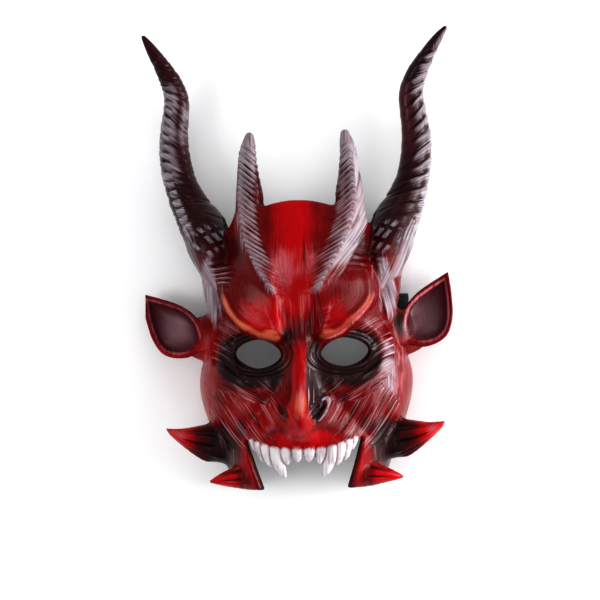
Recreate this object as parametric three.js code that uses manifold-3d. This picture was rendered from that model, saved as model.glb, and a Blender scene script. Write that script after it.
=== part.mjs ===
// A foam devil mask with its head strap, lying on its back with the face up.
//
// X runs across the face, Y from the jaw to the horn tips and Z up, out of the face.
// The mask rests on the plane Z = 0, on the rim of its shell and on the backs of its big horns.
// All sizes are in millimetres. A left side has negative X.

import * as THREE from 'three';
import { mergeVertices } from 'three/addons/utils/BufferGeometryUtils.js';
import Module from 'manifold-3d';

const wasm = await Module();
wasm.setup();

// Moves the traced heights so that the middle of the whole mask is at Y = 0.
const CENTRE_SHIFT = 1.2;

// The face shell: half a tube of foam, open at the jaw, the forehead and the back.
const FOAM_THICKNESS = 7;
const JAW_END = -184;
const FOREHEAD_TOP = 45.5;
const FOREHEAD_ARCH = 0.0066;
const SECTION_POWER = 2.3;
// Stations of the shell: place along Y, half width of the face, height of its middle line.
const FACE_STATIONS = [
  [-200, 52, 68],
  [-184, 59, 74],
  [-163, 67.5, 80],
  [-128, 80, 86],
  [-98, 84.6, 86],
  [-60, 76.5, 88],
  [-30, 73, 92],
  [15, 70, 90],
  [45, 66, 84],
  [60, 64, 80],
];

// The nose: place along Y, height of the ridge over the shell, half width of the ridge.
const NOSE_STATIONS = [
  [-148, 0, 10],
  [-141, 11, 11],
  [-132, 24, 12],
  [-122, 27, 12],
  [-106, 21, 10.5],
  [-85, 12, 9],
  [-64, 4, 8],
  [-46, 0, 8],
];
const NOSTRIL = { x: 15, y: -120, radius: 9, height: 10 };
const NOSE_SECTION_POWER = 4;
// How much of the nose and of the brows the inner skin follows.
const NOSE_CAVITY = { height: 0.6, width: 0.8 };
const BROW_CAVITY = 0.7;

// The eyes: almond holes in shallow sockets, with a raised lid round each.
const EYE = { x: 34.3, y: -75.5, halfLength: 18.5, halfHeight: 11.3, power: 1.7, tilt: 3 };
const SOCKET = { x: 35, y: -75, halfLength: 30, halfHeight: 19, depth: 9, floor: 0.55, edge: 1.15 };
const EYELID = { height: 2.5, width: 0.2, at: 1.15 };

// The brows: two round lobes that overhang the eyes and end in a raised rim.
const BROW = { x: 24, y: -24, radius: 36.5, height: 8, edge: 4, fadeStart: -22, fadeEnd: 8 };
const BROW_RIM = { height: 2.5, inset: 3, width: 4 };
// The brows start this far from the middle and are full at the second distance.
const BROW_START = [9, 19];

// The frown between the brows: upright folds on the glabella, spreading into a V above it.
const FROWN = { foldSpacing: 9, depth: 2.2, halfWidth: 13, spread: 0.5, spreadFrom: -50 };
const FROWN_BOTTOM = [-72, -62];
const FROWN_TOP = [-36, -18];

// The roots of the inner horns: a ridge that runs down each side of the forehead to the frown.
// Place along Y, distance of the ridge from the middle, its height and its half width.
const HORN_ROOT_STATIONS = [
  [-46, 11, 0, 6],
  [-31, 15, 3, 7],
  [-7, 28.5, 6, 10],
  [17, 40, 9, 12],
  [43, 45, 11, 13],
  [60, 45.5, 10, 13],
];
const HORN_ROOT_RIDGES = { spacing: 9.5, depth: 1.2, slope: 0.9, from: -40, full: -20 };

// Cheekbones, the muzzle over the teeth and the folds that part them.
const CHEEKBONE = { x: 62, y: -98, radius: 24, height: 4.5 };
const MUZZLE = { y: -139, halfHeight: 13, height: 5, fadeStart: 25, fadeEnd: 50 };
const SMILE_FOLD = { fromX: 20, fromY: -106, toX: 50, toY: -142, width: 4.5, depth: 3.2 };
const CHEEK_FOLDS = { x: 60, y: -128, radius: 24, spacing: 10, depth: 1.3, slope: 0.62 };

// The mouth: open from the upper lip down to the end of the jaw.
const MOUTH = { cornerX: 42, cornerY: -141.5, lipY: -150.5, endX: 33.6, lipPower: 2.4 };
// The cut ends of the jaw flare: the gap between them widens with the height, up to the front.
const JAW_CUT = { middleZ: 60, backZ: 30, frontZ: 90, flare: 0.85 };

// The teeth, from the middle outwards: distance of the root from the middle, width at the
// root, length, and how far the tip leans towards the middle.
const TEETH = [
  [4.8, 8.6, 10.5, 0.4],
  [13.6, 8.8, 13, 0.8],
  [22.4, 9.4, 24.5, 7.5],
  [29.6, 8, 17.5, 3.6],
  [35.2, 7, 15.5, 2.6],
  [39.8, 5.6, 10, 1.2],
];
const TOOTH_THICKNESS = 6.5;
const TOOTH_ROOT = 7;
const TOOTH_SET_BACK = 5;
// Stations of a tooth from root to tip: share of its length, of its width and of its lean.
const TOOTH_STATIONS = [
  [0, 0.9, 0],
  [0.4, 1, 0.05],
  [0.75, 0.68, 0.5],
  [1, 0.1, 1],
];

// The big horns: X, Y and Z of the middle line, half width across and half depth.
const BIG_HORN_STATIONS = [
  [50, -30, 30, 12, 20],
  [65, -3, 32, 18.5, 33.5],
  [75, 22, 29, 19, 31],
  [84.6, 41, 26, 15.6, 20],
  [92.2, 60, 23.5, 13.2, 16],
  [96.2, 80, 21.5, 12.4, 13.6],
  [96.8, 99, 21, 11.4, 12],
  [94.6, 117, 22, 10.4, 10.8],
  [94, 132, 24.5, 9.6, 9.8],
  [99.4, 147.5, 29, 8, 8.4],
  [108, 162, 35, 5.8, 6.2],
  [115.4, 173, 40.5, 4, 4.2],
  [121.4, 181.4, 45, 1.2, 1.2],
];
// Ridges cross a horn at a slant, from the first to the last of its stations given here.
const BIG_HORN_RIDGES = { depth: 0.09, slant: 0.7, first: 1.2, last: 10.8 };
// Between root and tip, both big horns lean to the left by up to this much.
const BIG_HORN_SWAY = -3.2;

// The inner horns, with the same five values a station.
const INNER_HORN_STATIONS = [
  [44.5, 12, 62, 12, 12],
  [42.6, 32, 68, 13, 12],
  [40, 48, 72.5, 11.6, 11.4],
  [40.6, 64, 76, 9, 9.4],
  [40.8, 80, 79, 7, 7.4],
  [40, 92, 81.5, 5, 5.4],
  [39.4, 99.6, 83.5, 1.4, 1.4],
];
const INNER_HORN_RIDGES = { depth: 0.1, slant: 0.8, first: 1, last: 5.2 };
const INNER_HORN_LEAN = 2.2;

// The jaw spikes, upper and lower, with the same five values a station.
const UPPER_SPIKE_STATIONS = [
  [62, -147, 30, 17, 15],
  [76, -145.5, 33, 15, 12.5],
  [88, -143, 36, 11, 9.5],
  [99, -140, 38, 6.6, 6.4],
  [107, -136.8, 39.5, 3.2, 3.4],
  [111.3, -134.2, 40, 0.9, 0.9],
];
const LOWER_SPIKE_STATIONS = [
  [40, -172.5, 50, 8, 9],
  [52, -173.2, 50, 8.4, 9],
  [62, -174.4, 48.5, 6.6, 7],
  [70.5, -175.8, 46.5, 3.8, 4.2],
  [77, -176.8, 45, 1, 1],
];
const SPIKE_FLUTES = { count: 5, depth: 0.1 };

// The ears: cupped leaves on a short root. The outline gives the reach to the upper side and
// to the lower side of the line from root to tip, at a distance along that line.
const EAR_ROOT = { x: 83, y: -66, z: 31 };
const EAR_OUTLINE = [
  [-6, 0, 0],
  [1, 7, 16],
  [16, 13.6, 26],
  [31, 13.2, 23.6],
  [47, 7.4, 13.6],
  [63, 0, 0],
];
const EAR_AXIS_DEGREES = 48.5;
// The right ear is set a little steeper than the left one and is a little longer.
const EAR_TURN_DEGREES = 3.5;
const EAR_STRETCH = 0.05;
const EAR_FALL = 0.24;
// The deepest point of the cup: along the axis, below it, and how far it is sunk.
const EAR_SEAT = { along: 24, below: 5, depth: 10, power: 2.5 };
const EAR_THICKNESS = { middle: 4.5, power: 6 };
const EAR_STALK_STATIONS = [
  [60, -61, 28, 19, 12],
  [76, -62, 26, 19, 9],
  [86, -61, 17.5, 17, 6],
  [98, -57, 11.5, 12, 3.4],
];

// The strap: elastic webbing fixed inside both temples, which lies on the ground between them.
const STRAP_WIDTH = 20;
const STRAP_THICKNESS = 1.5;
const STRAP_Y = -40.5;
const STRAP_GAP = 1.2;
const STRAP_LIFT = 0.7;
const STRAP_GLUED_HEIGHTS = [46, 38, 30, 24];
const STRAP_BOW = 84;
const STRAP_HUMP = 5;
// The band leans with the foam above this pair of heights.
const STRAP_ON_FOAM = [14, 26];
// The rim of the shell is cut away at both temples, where the strap leaves it.
const TEMPLE_NOTCH = { fromY: -58, toY: -22, height: 25, slope: 6, fromX: 50, toX: 80 };

const FOAM = { color: 0x7d0a12, roughness: 0.42, metalness: 0 };
const WEBBING = { color: 0x141214, roughness: 0.85, metalness: 0 };

// How finely the solids are divided.
const SHELL_COLUMNS = 50;
const SHELL_ROWS = 39;
const HOLLOW_COLUMNS = 20;
const HOLLOW_ROWS = 12;
const BIG_HORN_RINGS = 34;
const INNER_HORN_RINGS = 18;
const HORN_SIDES = 10;
const SPIKE_RINGS = 6;
const SPIKE_SIDES = 10;
const EAR_STEPS = 16;
const EAR_RINGS = 3;
const TOOTH_SIDES = 5;
const STRAP_STEPS = 44;
const EYE_STEPS = 24;
const LIP_STEPS = 12;
// The shell's columns are closer together at its middle by this share.
const COLUMN_CROWDING = 0.34;
const SKIN_ROUNDS = 8;
const BISECTION_ROUNDS = 24;

// Cuts start under the ground and end above the face.
const CUT_DEPTH = 10;
const CUT_TOP = 130;
const OVERRUN = 12;
const GROUND = { halfWidth: 200, halfLength: 250, depth: 60 };

const radians = THREE.MathUtils.degToRad;
const clamp = THREE.MathUtils.clamp;
const bell = (distance, width) => Math.exp(-((distance / width) ** 2));

// Goes smoothly from 0 at the start to 1 at the end.
function ease(start, end, value) {
  const part = clamp((value - start) / (end - start), 0, 1);
  return part * part * (3 - 2 * part);
}

// Reads one column of a list of stations at a place between them, on a smooth curve.
function along(stations, column, place) {
  const last = stations.length - 1;
  let i = 0;
  while (i < last - 1 && place > stations[i + 1][0]) {
    i += 1;
  }
  const slope = (k) => {
    const before = stations[Math.max(k - 1, 0)];
    const after = stations[Math.min(k + 1, last)];
    return (after[column] - before[column]) / (after[0] - before[0]);
  };
  const span = stations[i + 1][0] - stations[i][0];
  const t = clamp((place - stations[i][0]) / span, 0, 1);
  const rise = stations[i + 1][column] - stations[i][column];
  const bend = t * (1 - t);
  const start = slope(i) * span - rise;
  const end = rise - slope(i + 1) * span;
  return stations[i][column] + t * rise + bend * ((1 - t) * start + t * end);
}

// Turns points and triangles into a solid whose faces point out.
function solid(points, faces) {
  let volume = 0;
  for (const [a, b, c] of faces) {
    const normal = new THREE.Vector3().crossVectors(points[b], points[c]);
    volume += points[a].dot(normal);
  }
  const outward = volume > 0 ? faces : faces.map(([a, b, c]) => [a, c, b]);
  const geometry = new THREE.BufferGeometry().setFromPoints(points);
  geometry.setIndex(outward.flat());
  return solidOf(geometry);
}

// Turns a closed geometry into a solid that can be joined and cut.
function solidOf(geometry) {
  geometry.deleteAttribute('normal');
  geometry.deleteAttribute('uv');
  const merged = mergeVertices(geometry, 1e-4);
  const corners = merged.index.array;
  const kept = [];
  for (let i = 0; i < corners.length; i += 3) {
    const [a, b, c] = corners.slice(i, i + 3);
    if (a !== b && b !== c && c !== a) {
      kept.push(a, b, c);
    }
  }
  return new wasm.Manifold(new wasm.Mesh({
    numProp: 3,
    vertProperties: merged.attributes.position.array,
    triVerts: Uint32Array.from(kept),
  }));
}

// Triangles over a grid of points with the given number of rows and columns.
function gridFaces(rows, columns, first = 0) {
  const faces = [];
  for (let row = 0; row < rows - 1; row += 1) {
    for (let column = 0; column < columns - 1; column += 1) {
      const a = first + row * columns + column;
      const b = a + columns;
      faces.push([a, a + 1, b + 1], [a, b + 1, b]);
    }
  }
  return faces;
}

// A solid through a row of rings that each have the same number of points.
function loft(rings) {
  const sides = rings[0].length;
  const points = rings.flat();
  const faces = [];
  for (let ring = 0; ring < rings.length - 1; ring += 1) {
    for (let i = 0; i < sides; i += 1) {
      const a = ring * sides + i;
      const b = ring * sides + ((i + 1) % sides);
      faces.push([a, b, b + sides], [a, b + sides, a + sides]);
    }
  }
  const ends = [[0, 1], [(rings.length - 1) * sides, -1]];
  for (const [first, turn] of ends) {
    const middle = new THREE.Vector3();
    for (let i = 0; i < sides; i += 1) {
      middle.addScaledVector(points[first + i], 1 / sides);
    }
    points.push(middle);
    for (let i = 0; i < sides; i += 1) {
      const next = first + ((i + 1) % sides);
      faces.push(turn > 0
        ? [points.length - 1, next, first + i]
        : [points.length - 1, first + i, next]);
    }
  }
  return solid(points, faces);
}

// The upright folds between the brows, which spread apart towards the forehead.
function frownFolds(x, y) {
  const reach = ease(...FROWN_BOTTOM, y) * (1 - ease(...FROWN_TOP, y));
  const spacing = FROWN.foldSpacing + FROWN.spread * Math.max(0, y - FROWN.spreadFrom);
  const wave = Math.cos((2 * Math.PI * x) / spacing);
  return -FROWN.depth * reach * bell(x, FROWN.halfWidth) * (0.5 + 0.5 * wave);
}

// The ridge under an inner horn, with ribs that run down from it to the middle.
function hornRoot(x, y) {
  const middle = along(HORN_ROOT_STATIONS, 1, y);
  const height = along(HORN_ROOT_STATIONS, 2, y);
  const width = along(HORN_ROOT_STATIONS, 3, y);
  const cover = bell(x - middle, width);
  const phase = (y + HORN_ROOT_RIDGES.slope * Math.abs(x - middle)) / HORN_ROOT_RIDGES.spacing;
  const shown = ease(HORN_ROOT_RIDGES.from, HORN_ROOT_RIDGES.full, y);
  return cover * (height + HORN_ROOT_RIDGES.depth * shown * Math.sin(2 * Math.PI * phase));
}

// The brow lobe: full inside its round lower edge, fading out towards the horns.
function browLobe(x, y) {
  const outside = Math.hypot(x - BROW.x, y - BROW.y) - BROW.radius;
  const lobe = 1 - ease(-BROW.edge, BROW.edge, outside);
  const fade = 1 - ease(BROW.fadeStart, BROW.fadeEnd, y);
  const rim = BROW_RIM.height * bell(outside + BROW_RIM.inset, BROW_RIM.width);
  return fade * ease(...BROW_START, x) * (BROW.height * lobe + rim);
}

// The eye socket with the lid round the hole. The distance is 1 on the edge of the hole.
function eyeSocket(x, y) {
  const across = (x - SOCKET.x) / SOCKET.halfLength;
  const upward = (y - SOCKET.y) / SOCKET.halfHeight;
  const sunk = 1 - ease(SOCKET.floor, SOCKET.edge, Math.hypot(across, upward));
  const fromHole = Math.hypot((x - EYE.x) / EYE.halfLength, (y - EYE.y) / EYE.halfHeight);
  const lid = EYELID.height * bell(fromHole - EYELID.at, EYELID.width);
  return lid - SOCKET.depth * sunk;
}

function noseRidge(x, y, narrower = 1) {
  const height = along(NOSE_STATIONS, 1, y);
  const width = along(NOSE_STATIONS, 2, y) * narrower;
  return height / (1 + (x / width) ** NOSE_SECTION_POWER);
}

function nostril(x, y) {
  const away = Math.hypot(x - NOSTRIL.x, y - NOSTRIL.y);
  return NOSTRIL.height * bell(away, NOSTRIL.radius);
}

function muzzle(x, y) {
  const beside = 1 - ease(MUZZLE.fadeStart, MUZZLE.fadeEnd, x);
  return MUZZLE.height * bell(y - MUZZLE.y, MUZZLE.halfHeight) * beside;
}

function cheekbone(x, y) {
  return CHEEKBONE.height * bell(Math.hypot(x - CHEEKBONE.x, y - CHEEKBONE.y), CHEEKBONE.radius);
}

// The fold from the wing of the nose to the corner of the mouth.
function smileFold(x, y) {
  const runX = SMILE_FOLD.toX - SMILE_FOLD.fromX;
  const runY = SMILE_FOLD.toY - SMILE_FOLD.fromY;
  const length = Math.hypot(runX, runY);
  const part = clamp(((x - SMILE_FOLD.fromX) * runX + (y - SMILE_FOLD.fromY) * runY) / length ** 2, 0, 1);
  const nearX = SMILE_FOLD.fromX + part * runX;
  const nearY = SMILE_FOLD.fromY + part * runY;
  return -SMILE_FOLD.depth * bell(Math.hypot(x - nearX, y - nearY), SMILE_FOLD.width);
}

// Slanting folds that cross the lower cheek towards the mouth.
function cheekFolds(x, y) {
  const cover = bell(Math.hypot(x - CHEEK_FOLDS.x, y - CHEEK_FOLDS.y), CHEEK_FOLDS.radius);
  const phase = (y * CHEEK_FOLDS.slope - x) / CHEEK_FOLDS.spacing;
  return CHEEK_FOLDS.depth * cover * Math.sin(2 * Math.PI * phase);
}

// How far the outer skin stands out from the plain shell at a place on the face.
function relief(x, y) {
  const side = Math.abs(x);
  return noseRidge(side, y) + nostril(side, y) + browLobe(side, y) + eyeSocket(side, y)
    + frownFolds(side, y) + hornRoot(side, y) + muzzle(side, y) + cheekbone(side, y)
    + smileFold(side, y) + cheekFolds(side, y);
}

// The inner skin follows only the large forms.
function hollowRelief(x, y) {
  const side = Math.abs(x);
  return NOSE_CAVITY.height * noseRidge(side, y, NOSE_CAVITY.width) + BROW_CAVITY * browLobe(side, y)
    + Math.min(eyeSocket(side, y), 0) + muzzle(side, y) + cheekbone(side, y);
}

// Distance of the plain shell from the Y axis, in a direction given from straight up.
function shellRadius(angle, y, inset) {
  const halfWidth = along(FACE_STATIONS, 1, y) - inset;
  const depth = along(FACE_STATIONS, 2, y) - inset;
  const across = (Math.abs(Math.sin(angle)) / halfWidth) ** SECTION_POWER;
  const upward = (Math.abs(Math.cos(angle)) / depth) ** SECTION_POWER;
  return (across + upward) ** (-1 / SECTION_POWER);
}

// A point of the skin. The relief is read at the place where the point ends up.
function skinPoint(angle, y, inset, reliefAt) {
  const plain = shellRadius(angle, y, inset);
  let radius = plain;
  for (let round = 0; round < SKIN_ROUNDS; round += 1) {
    radius = plain + reliefAt(radius * Math.sin(angle), y);
  }
  return new THREE.Vector3(radius * Math.sin(angle), y, Math.max(radius * Math.cos(angle), 0));
}

const foreheadEdge = (x) => FOREHEAD_TOP - FOREHEAD_ARCH * x * x;

// The closed body under a skin, down to the given floor. It runs past both ends by the overrun.
function skinBody(columns, rows, inset, reliefAt, floor, overrun) {
  const points = [];
  for (let row = 0; row <= rows; row += 1) {
    for (let column = 0; column <= columns; column += 1) {
      const side = (2 * column) / columns - 1;
      const angle = side * (1 - COLUMN_CROWDING + COLUMN_CROWDING * side * side) * (Math.PI / 2);
      const wide = shellRadius(angle, FOREHEAD_TOP, inset) * Math.sin(angle);
      const bottom = JAW_END - overrun;
      const y = bottom + (row / rows) * (foreheadEdge(wide) + overrun - bottom);
      points.push(skinPoint(angle, y, inset, reliefAt));
    }
  }
  const width = columns + 1;
  const faces = gridFaces(rows + 1, width);
  const below = points.length;
  for (let row = 0; row <= rows; row += 1) {
    const left = points[row * width];
    const right = points[row * width + columns];
    points.push(new THREE.Vector3(left.x, left.y, floor));
    points.push(new THREE.Vector3(0, left.y, floor));
    points.push(new THREE.Vector3(right.x, right.y, floor));
  }
  for (let row = 0; row < rows; row += 1) {
    const a = below + 3 * row;
    faces.push([a, a + 3, a + 4], [a, a + 4, a + 1], [a + 1, a + 4, a + 5], [a + 1, a + 5, a + 2]);
    const left = row * width;
    const right = left + columns;
    faces.push([left, left + width, a + 3], [left, a + 3, a]);
    faces.push([right, a + 2, a + 5], [right, a + 5, right + width]);
  }
  const ends = [[0, below, 1], [rows * width, below + 3 * rows, -1]];
  for (const [first, corner, turn] of ends) {
    const fan = [corner];
    for (let column = 0; column <= columns; column += 1) {
      fan.push(first + column);
    }
    fan.push(corner + 2);
    for (let i = 0; i < fan.length - 1; i += 1) {
      faces.push(turn > 0 ? [corner + 1, fan[i + 1], fan[i]] : [corner + 1, fan[i], fan[i + 1]]);
    }
  }
  return solid(points, faces);
}

// A tapering form along a line of stations. The swell gives its surface ridges or flutes.
// A slant tips its rings, so that ridges cross it at an angle. The first few rings tip less.
function tapered(stations, rings, sides, side, swell, { move = () => 0, slant = 0 } = {}) {
  const numbered = stations.map((station, i) => [i, ...station]);
  const last = stations.length - 1;
  const near = 0.05;
  const levelRings = 4;
  const place = (t) => {
    const [x, y, z] = [1, 2, 3].map((column) => along(numbered, column, t));
    return new THREE.Vector3(side * x + move(t, last), y, z);
  };
  const list = [];
  for (let ring = 0; ring <= rings; ring += 1) {
    const t = (last * ring) / rings;
    const middle = place(t);
    const ahead = place(Math.min(t + near, last));
    const heading = ahead.sub(place(Math.max(t - near, 0))).normalize();
    const outward = new THREE.Vector3(heading.y, -heading.x, 0).normalize();
    const upward = new THREE.Vector3().crossVectors(outward, heading);
    const halfWidth = along(numbered, 4, t);
    const halfDepth = along(numbered, 5, t);
    const tip = side * slant * halfWidth * Math.min(ring / levelRings, 1);
    const points = [];
    for (let i = 0; i < sides; i += 1) {
      const angle = (2 * Math.PI * i) / sides;
      const grow = swell(t, angle, ring);
      const point = middle.clone();
      point.addScaledVector(heading, tip * Math.cos(angle));
      point.addScaledVector(outward, halfWidth * grow * Math.cos(angle));
      point.addScaledVector(upward, halfDepth * grow * Math.sin(angle));
      points.push(point);
    }
    list.push(points);
  }
  return loft(list);
}

// Ridges round a horn: every second ring stands out.
function hornRidges(ridges) {
  return (t, angle, ring) => {
    const fade = 0.5;
    const shown = ease(ridges.first - fade, ridges.first, t) * (1 - ease(ridges.last - fade, ridges.last, t));
    return 1 + ridges.depth * shown * (ring % 2 - 0.5);
  };
}

function bigHorn(side) {
  const sway = (t, last) => BIG_HORN_SWAY * Math.sin((Math.PI * clamp(t - 1, 0, last)) / (last - 1));
  const options = { move: sway, slant: BIG_HORN_RIDGES.slant };
  const ridges = hornRidges(BIG_HORN_RIDGES);
  return tapered(BIG_HORN_STATIONS, BIG_HORN_RINGS, HORN_SIDES, side, ridges, options);
}

function innerHorn(side) {
  const options = { move: () => INNER_HORN_LEAN, slant: INNER_HORN_RIDGES.slant };
  const ridges = hornRidges(INNER_HORN_RIDGES);
  return tapered(INNER_HORN_STATIONS, INNER_HORN_RINGS, HORN_SIDES, side, ridges, options);
}

function spike(stations, side) {
  const flutes = (t, angle) => 1 + SPIKE_FLUTES.depth * Math.cos(SPIKE_FLUTES.count * angle);
  return tapered(stations, SPIKE_RINGS, SPIKE_SIDES, side, flutes);
}

// An ear: a front skin sunk into a cup and a back skin behind it, which meet at the rim.
function ear(side) {
  const turn = radians(EAR_AXIS_DEGREES + side * EAR_TURN_DEGREES);
  const steps = EAR_STEPS;
  const rings = EAR_RINGS;
  const seat = new THREE.Vector2(EAR_SEAT.along, EAR_SEAT.below);
  const outline = [];
  const firstU = EAR_OUTLINE[0][0];
  const lastU = EAR_OUTLINE[EAR_OUTLINE.length - 1][0];
  for (let i = 0; i < steps; i += 1) {
    const angle = (2 * Math.PI * i) / steps;
    const u = firstU + (lastU - firstU) * (0.5 + 0.5 * Math.cos(angle));
    const lower = Math.sin(angle) > 0;
    const reach = Math.max(along(EAR_OUTLINE, lower ? 2 : 1, u), 0);
    outline.push(new THREE.Vector2(u, lower ? reach : -reach));
  }
  const skin = (part, corner, back) => {
    const flat = seat.clone().lerp(corner, part);
    flat.x *= 1 + side * EAR_STRETCH;
    const sunk = EAR_SEAT.depth * (1 - part ** EAR_SEAT.power);
    const thick = back ? EAR_THICKNESS.middle * (1 - part ** EAR_THICKNESS.power) : 0;
    const x = EAR_ROOT.x + flat.x * Math.cos(turn) + flat.y * Math.sin(turn);
    const y = EAR_ROOT.y + flat.x * Math.sin(turn) - flat.y * Math.cos(turn);
    const z = EAR_ROOT.z - EAR_FALL * flat.x - sunk - thick;
    return new THREE.Vector3(side * x, y, z);
  };
  const points = [];
  for (const back of [false, true]) {
    points.push(skin(0, seat, back));
    for (let ring = 1; ring < rings; ring += 1) {
      for (const corner of outline) {
        points.push(skin(ring / rings, corner, back));
      }
    }
  }
  const rim = points.length;
  for (const corner of outline) {
    points.push(skin(1, corner, false));
  }
  const faces = [];
  const half = 1 + (rings - 1) * steps;
  for (const back of [0, 1]) {
    const start = back * half;
    for (let i = 0; i < steps; i += 1) {
      const next = (i + 1) % steps;
      const strip = [[start, start + 1 + i, start + 1 + next]];
      for (let ring = 1; ring < rings; ring += 1) {
        const a = start + 1 + (ring - 1) * steps;
        const b = ring === rings - 1 ? rim : a + steps;
        strip.push([a + i, b + i, b + next], [a + i, b + next, a + next]);
      }
      faces.push(...strip.map(([a, b, c]) => (back ? [a, c, b] : [a, b, c])));
    }
  }
  const stalk = tapered(EAR_STALK_STATIONS, 3, 8, side, () => 1);
  return solid(points, faces).add(stalk);
}

// A tooth: a cone with a flattened root, which leans towards the middle of the mouth.
function tooth(side, [x, width, length, lean]) {
  const lipHeight = 4;
  const lipZ = 80;
  const rootY = lipLine(x) + TOOTH_ROOT;
  const front = skinPoint(Math.atan2(x, lipZ), lipLine(x) + lipHeight, 0, relief);
  const z = front.z - TOOTH_SET_BACK;
  const rings = TOOTH_STATIONS.map(([part, wide, bent]) => {
    const middle = new THREE.Vector3(side * (x - lean * bent), rootY - part * (length + TOOTH_ROOT), z);
    const points = [];
    for (let i = 0; i < TOOTH_SIDES; i += 1) {
      const angle = (2 * Math.PI * i) / TOOTH_SIDES + Math.PI / 2;
      const across = (width / 2) * wide * Math.cos(angle);
      const deep = (TOOTH_THICKNESS / 2) * wide * Math.sin(angle);
      points.push(middle.clone().add(new THREE.Vector3(across, 0, deep)));
    }
    return points;
  });
  return loft(rings);
}

// The lower edge of the upper lip, which rises towards the corners of the mouth.
function lipLine(x) {
  const part = clamp(x / MOUTH.cornerX, 0, 1);
  return MOUTH.lipY + (MOUTH.cornerY - MOUTH.lipY) * part ** MOUTH.lipPower;
}

// A prism between two heights. Its outline may differ between them.
function prism(lower, upper, bottom, top) {
  return loft([
    lower.map((p) => new THREE.Vector3(p.x, p.y, bottom)),
    upper.map((p) => new THREE.Vector3(p.x, p.y, top)),
  ]);
}

// The part of a half size at a corner of an almond outline, with its sign.
function almond(value) {
  return Math.sign(value) * Math.abs(value) ** (2 / EYE.power);
}

function eyeHole(side) {
  const turn = radians(EYE.tilt);
  const outline = [];
  for (let i = 0; i < EYE_STEPS; i += 1) {
    const angle = (2 * Math.PI * i) / EYE_STEPS;
    const across = EYE.halfLength * almond(Math.cos(angle));
    const upward = EYE.halfHeight * almond(Math.sin(angle));
    const x = EYE.x + across * Math.cos(turn) - upward * Math.sin(turn);
    const y = EYE.y + across * Math.sin(turn) + upward * Math.cos(turn);
    outline.push(new THREE.Vector2(side * x, y));
  }
  return prism(outline, outline, JAW_CUT.backZ, CUT_TOP);
}

function mouthOpening() {
  const outlineAt = (z) => {
    const wider = JAW_CUT.flare * (z - JAW_CUT.middleZ);
    const list = [];
    for (let i = 0; i <= LIP_STEPS; i += 1) {
      const part = (2 * i) / LIP_STEPS - 1;
      list.push(new THREE.Vector2(part * (MOUTH.cornerX + wider), lipLine(Math.abs(part) * MOUTH.cornerX)));
    }
    list.push(new THREE.Vector2(MOUTH.endX + wider, JAW_END - OVERRUN));
    list.push(new THREE.Vector2(-MOUTH.endX - wider, JAW_END - OVERRUN));
    return list;
  };
  const front = outlineAt(JAW_CUT.frontZ);
  const flared = prism(outlineAt(JAW_CUT.backZ), front, JAW_CUT.backZ, JAW_CUT.frontZ);
  return flared.add(prism(front, front, JAW_CUT.frontZ - 1, CUT_TOP));
}

// A box between two corners.
function block(low, high) {
  const size = new THREE.Vector3().subVectors(high, low);
  const geometry = new THREE.BoxGeometry(size.x, size.y, size.z);
  geometry.translate((low.x + high.x) / 2, (low.y + high.y) / 2, (low.z + high.z) / 2);
  return solidOf(geometry);
}

function templeNotch(side) {
  const { fromY, toY, height, slope, fromX, toX } = TEMPLE_NOTCH;
  const outline = [[fromY - slope, -CUT_DEPTH], [toY + slope, -CUT_DEPTH], [toY, height], [fromY, height]];
  const near = outline.map(([y, z]) => new THREE.Vector3(side * fromX, y, z));
  const far = outline.map(([y, z]) => new THREE.Vector3(side * toX, y, z));
  return loft([near, far]);
}

function maskSolid() {
  let body = skinBody(SHELL_COLUMNS, SHELL_ROWS, 0, relief, 0, 0);
  for (const side of [-1, 1]) {
    body = body.add(bigHorn(side));
    body = body.add(innerHorn(side));
    body = body.add(spike(UPPER_SPIKE_STATIONS, side));
    body = body.add(spike(LOWER_SPIKE_STATIONS, side));
    body = body.subtract(templeNotch(side));
    body = body.add(ear(side));
  }
  const hollow = skinBody(HOLLOW_COLUMNS, HOLLOW_ROWS, FOAM_THICKNESS, hollowRelief, -CUT_DEPTH, OVERRUN);
  body = body.subtract(hollow);
  body = body.subtract(mouthOpening());
  for (const side of [-1, 1]) {
    body = body.subtract(eyeHole(side));
    for (const values of TEETH) {
      body = body.add(tooth(side, values));
    }
  }
  const { halfWidth, halfLength, depth } = GROUND;
  const low = new THREE.Vector3(-halfWidth, -halfLength, -depth);
  return body.subtract(block(low, new THREE.Vector3(halfWidth, halfLength, 0)));
}

// How far from the middle the inner skin is at a place along Y and a height.
function hollowReach(y, z) {
  let near = 0;
  let far = Math.PI / 2;
  for (let round = 0; round < BISECTION_ROUNDS; round += 1) {
    const angle = (near + far) / 2;
    const point = skinPoint(angle, y, FOAM_THICKNESS, hollowRelief);
    if (point.z > z) {
      near = angle;
    } else {
      far = angle;
    }
  }
  return skinPoint(near, y, FOAM_THICKNESS, hollowRelief).x;
}

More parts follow.
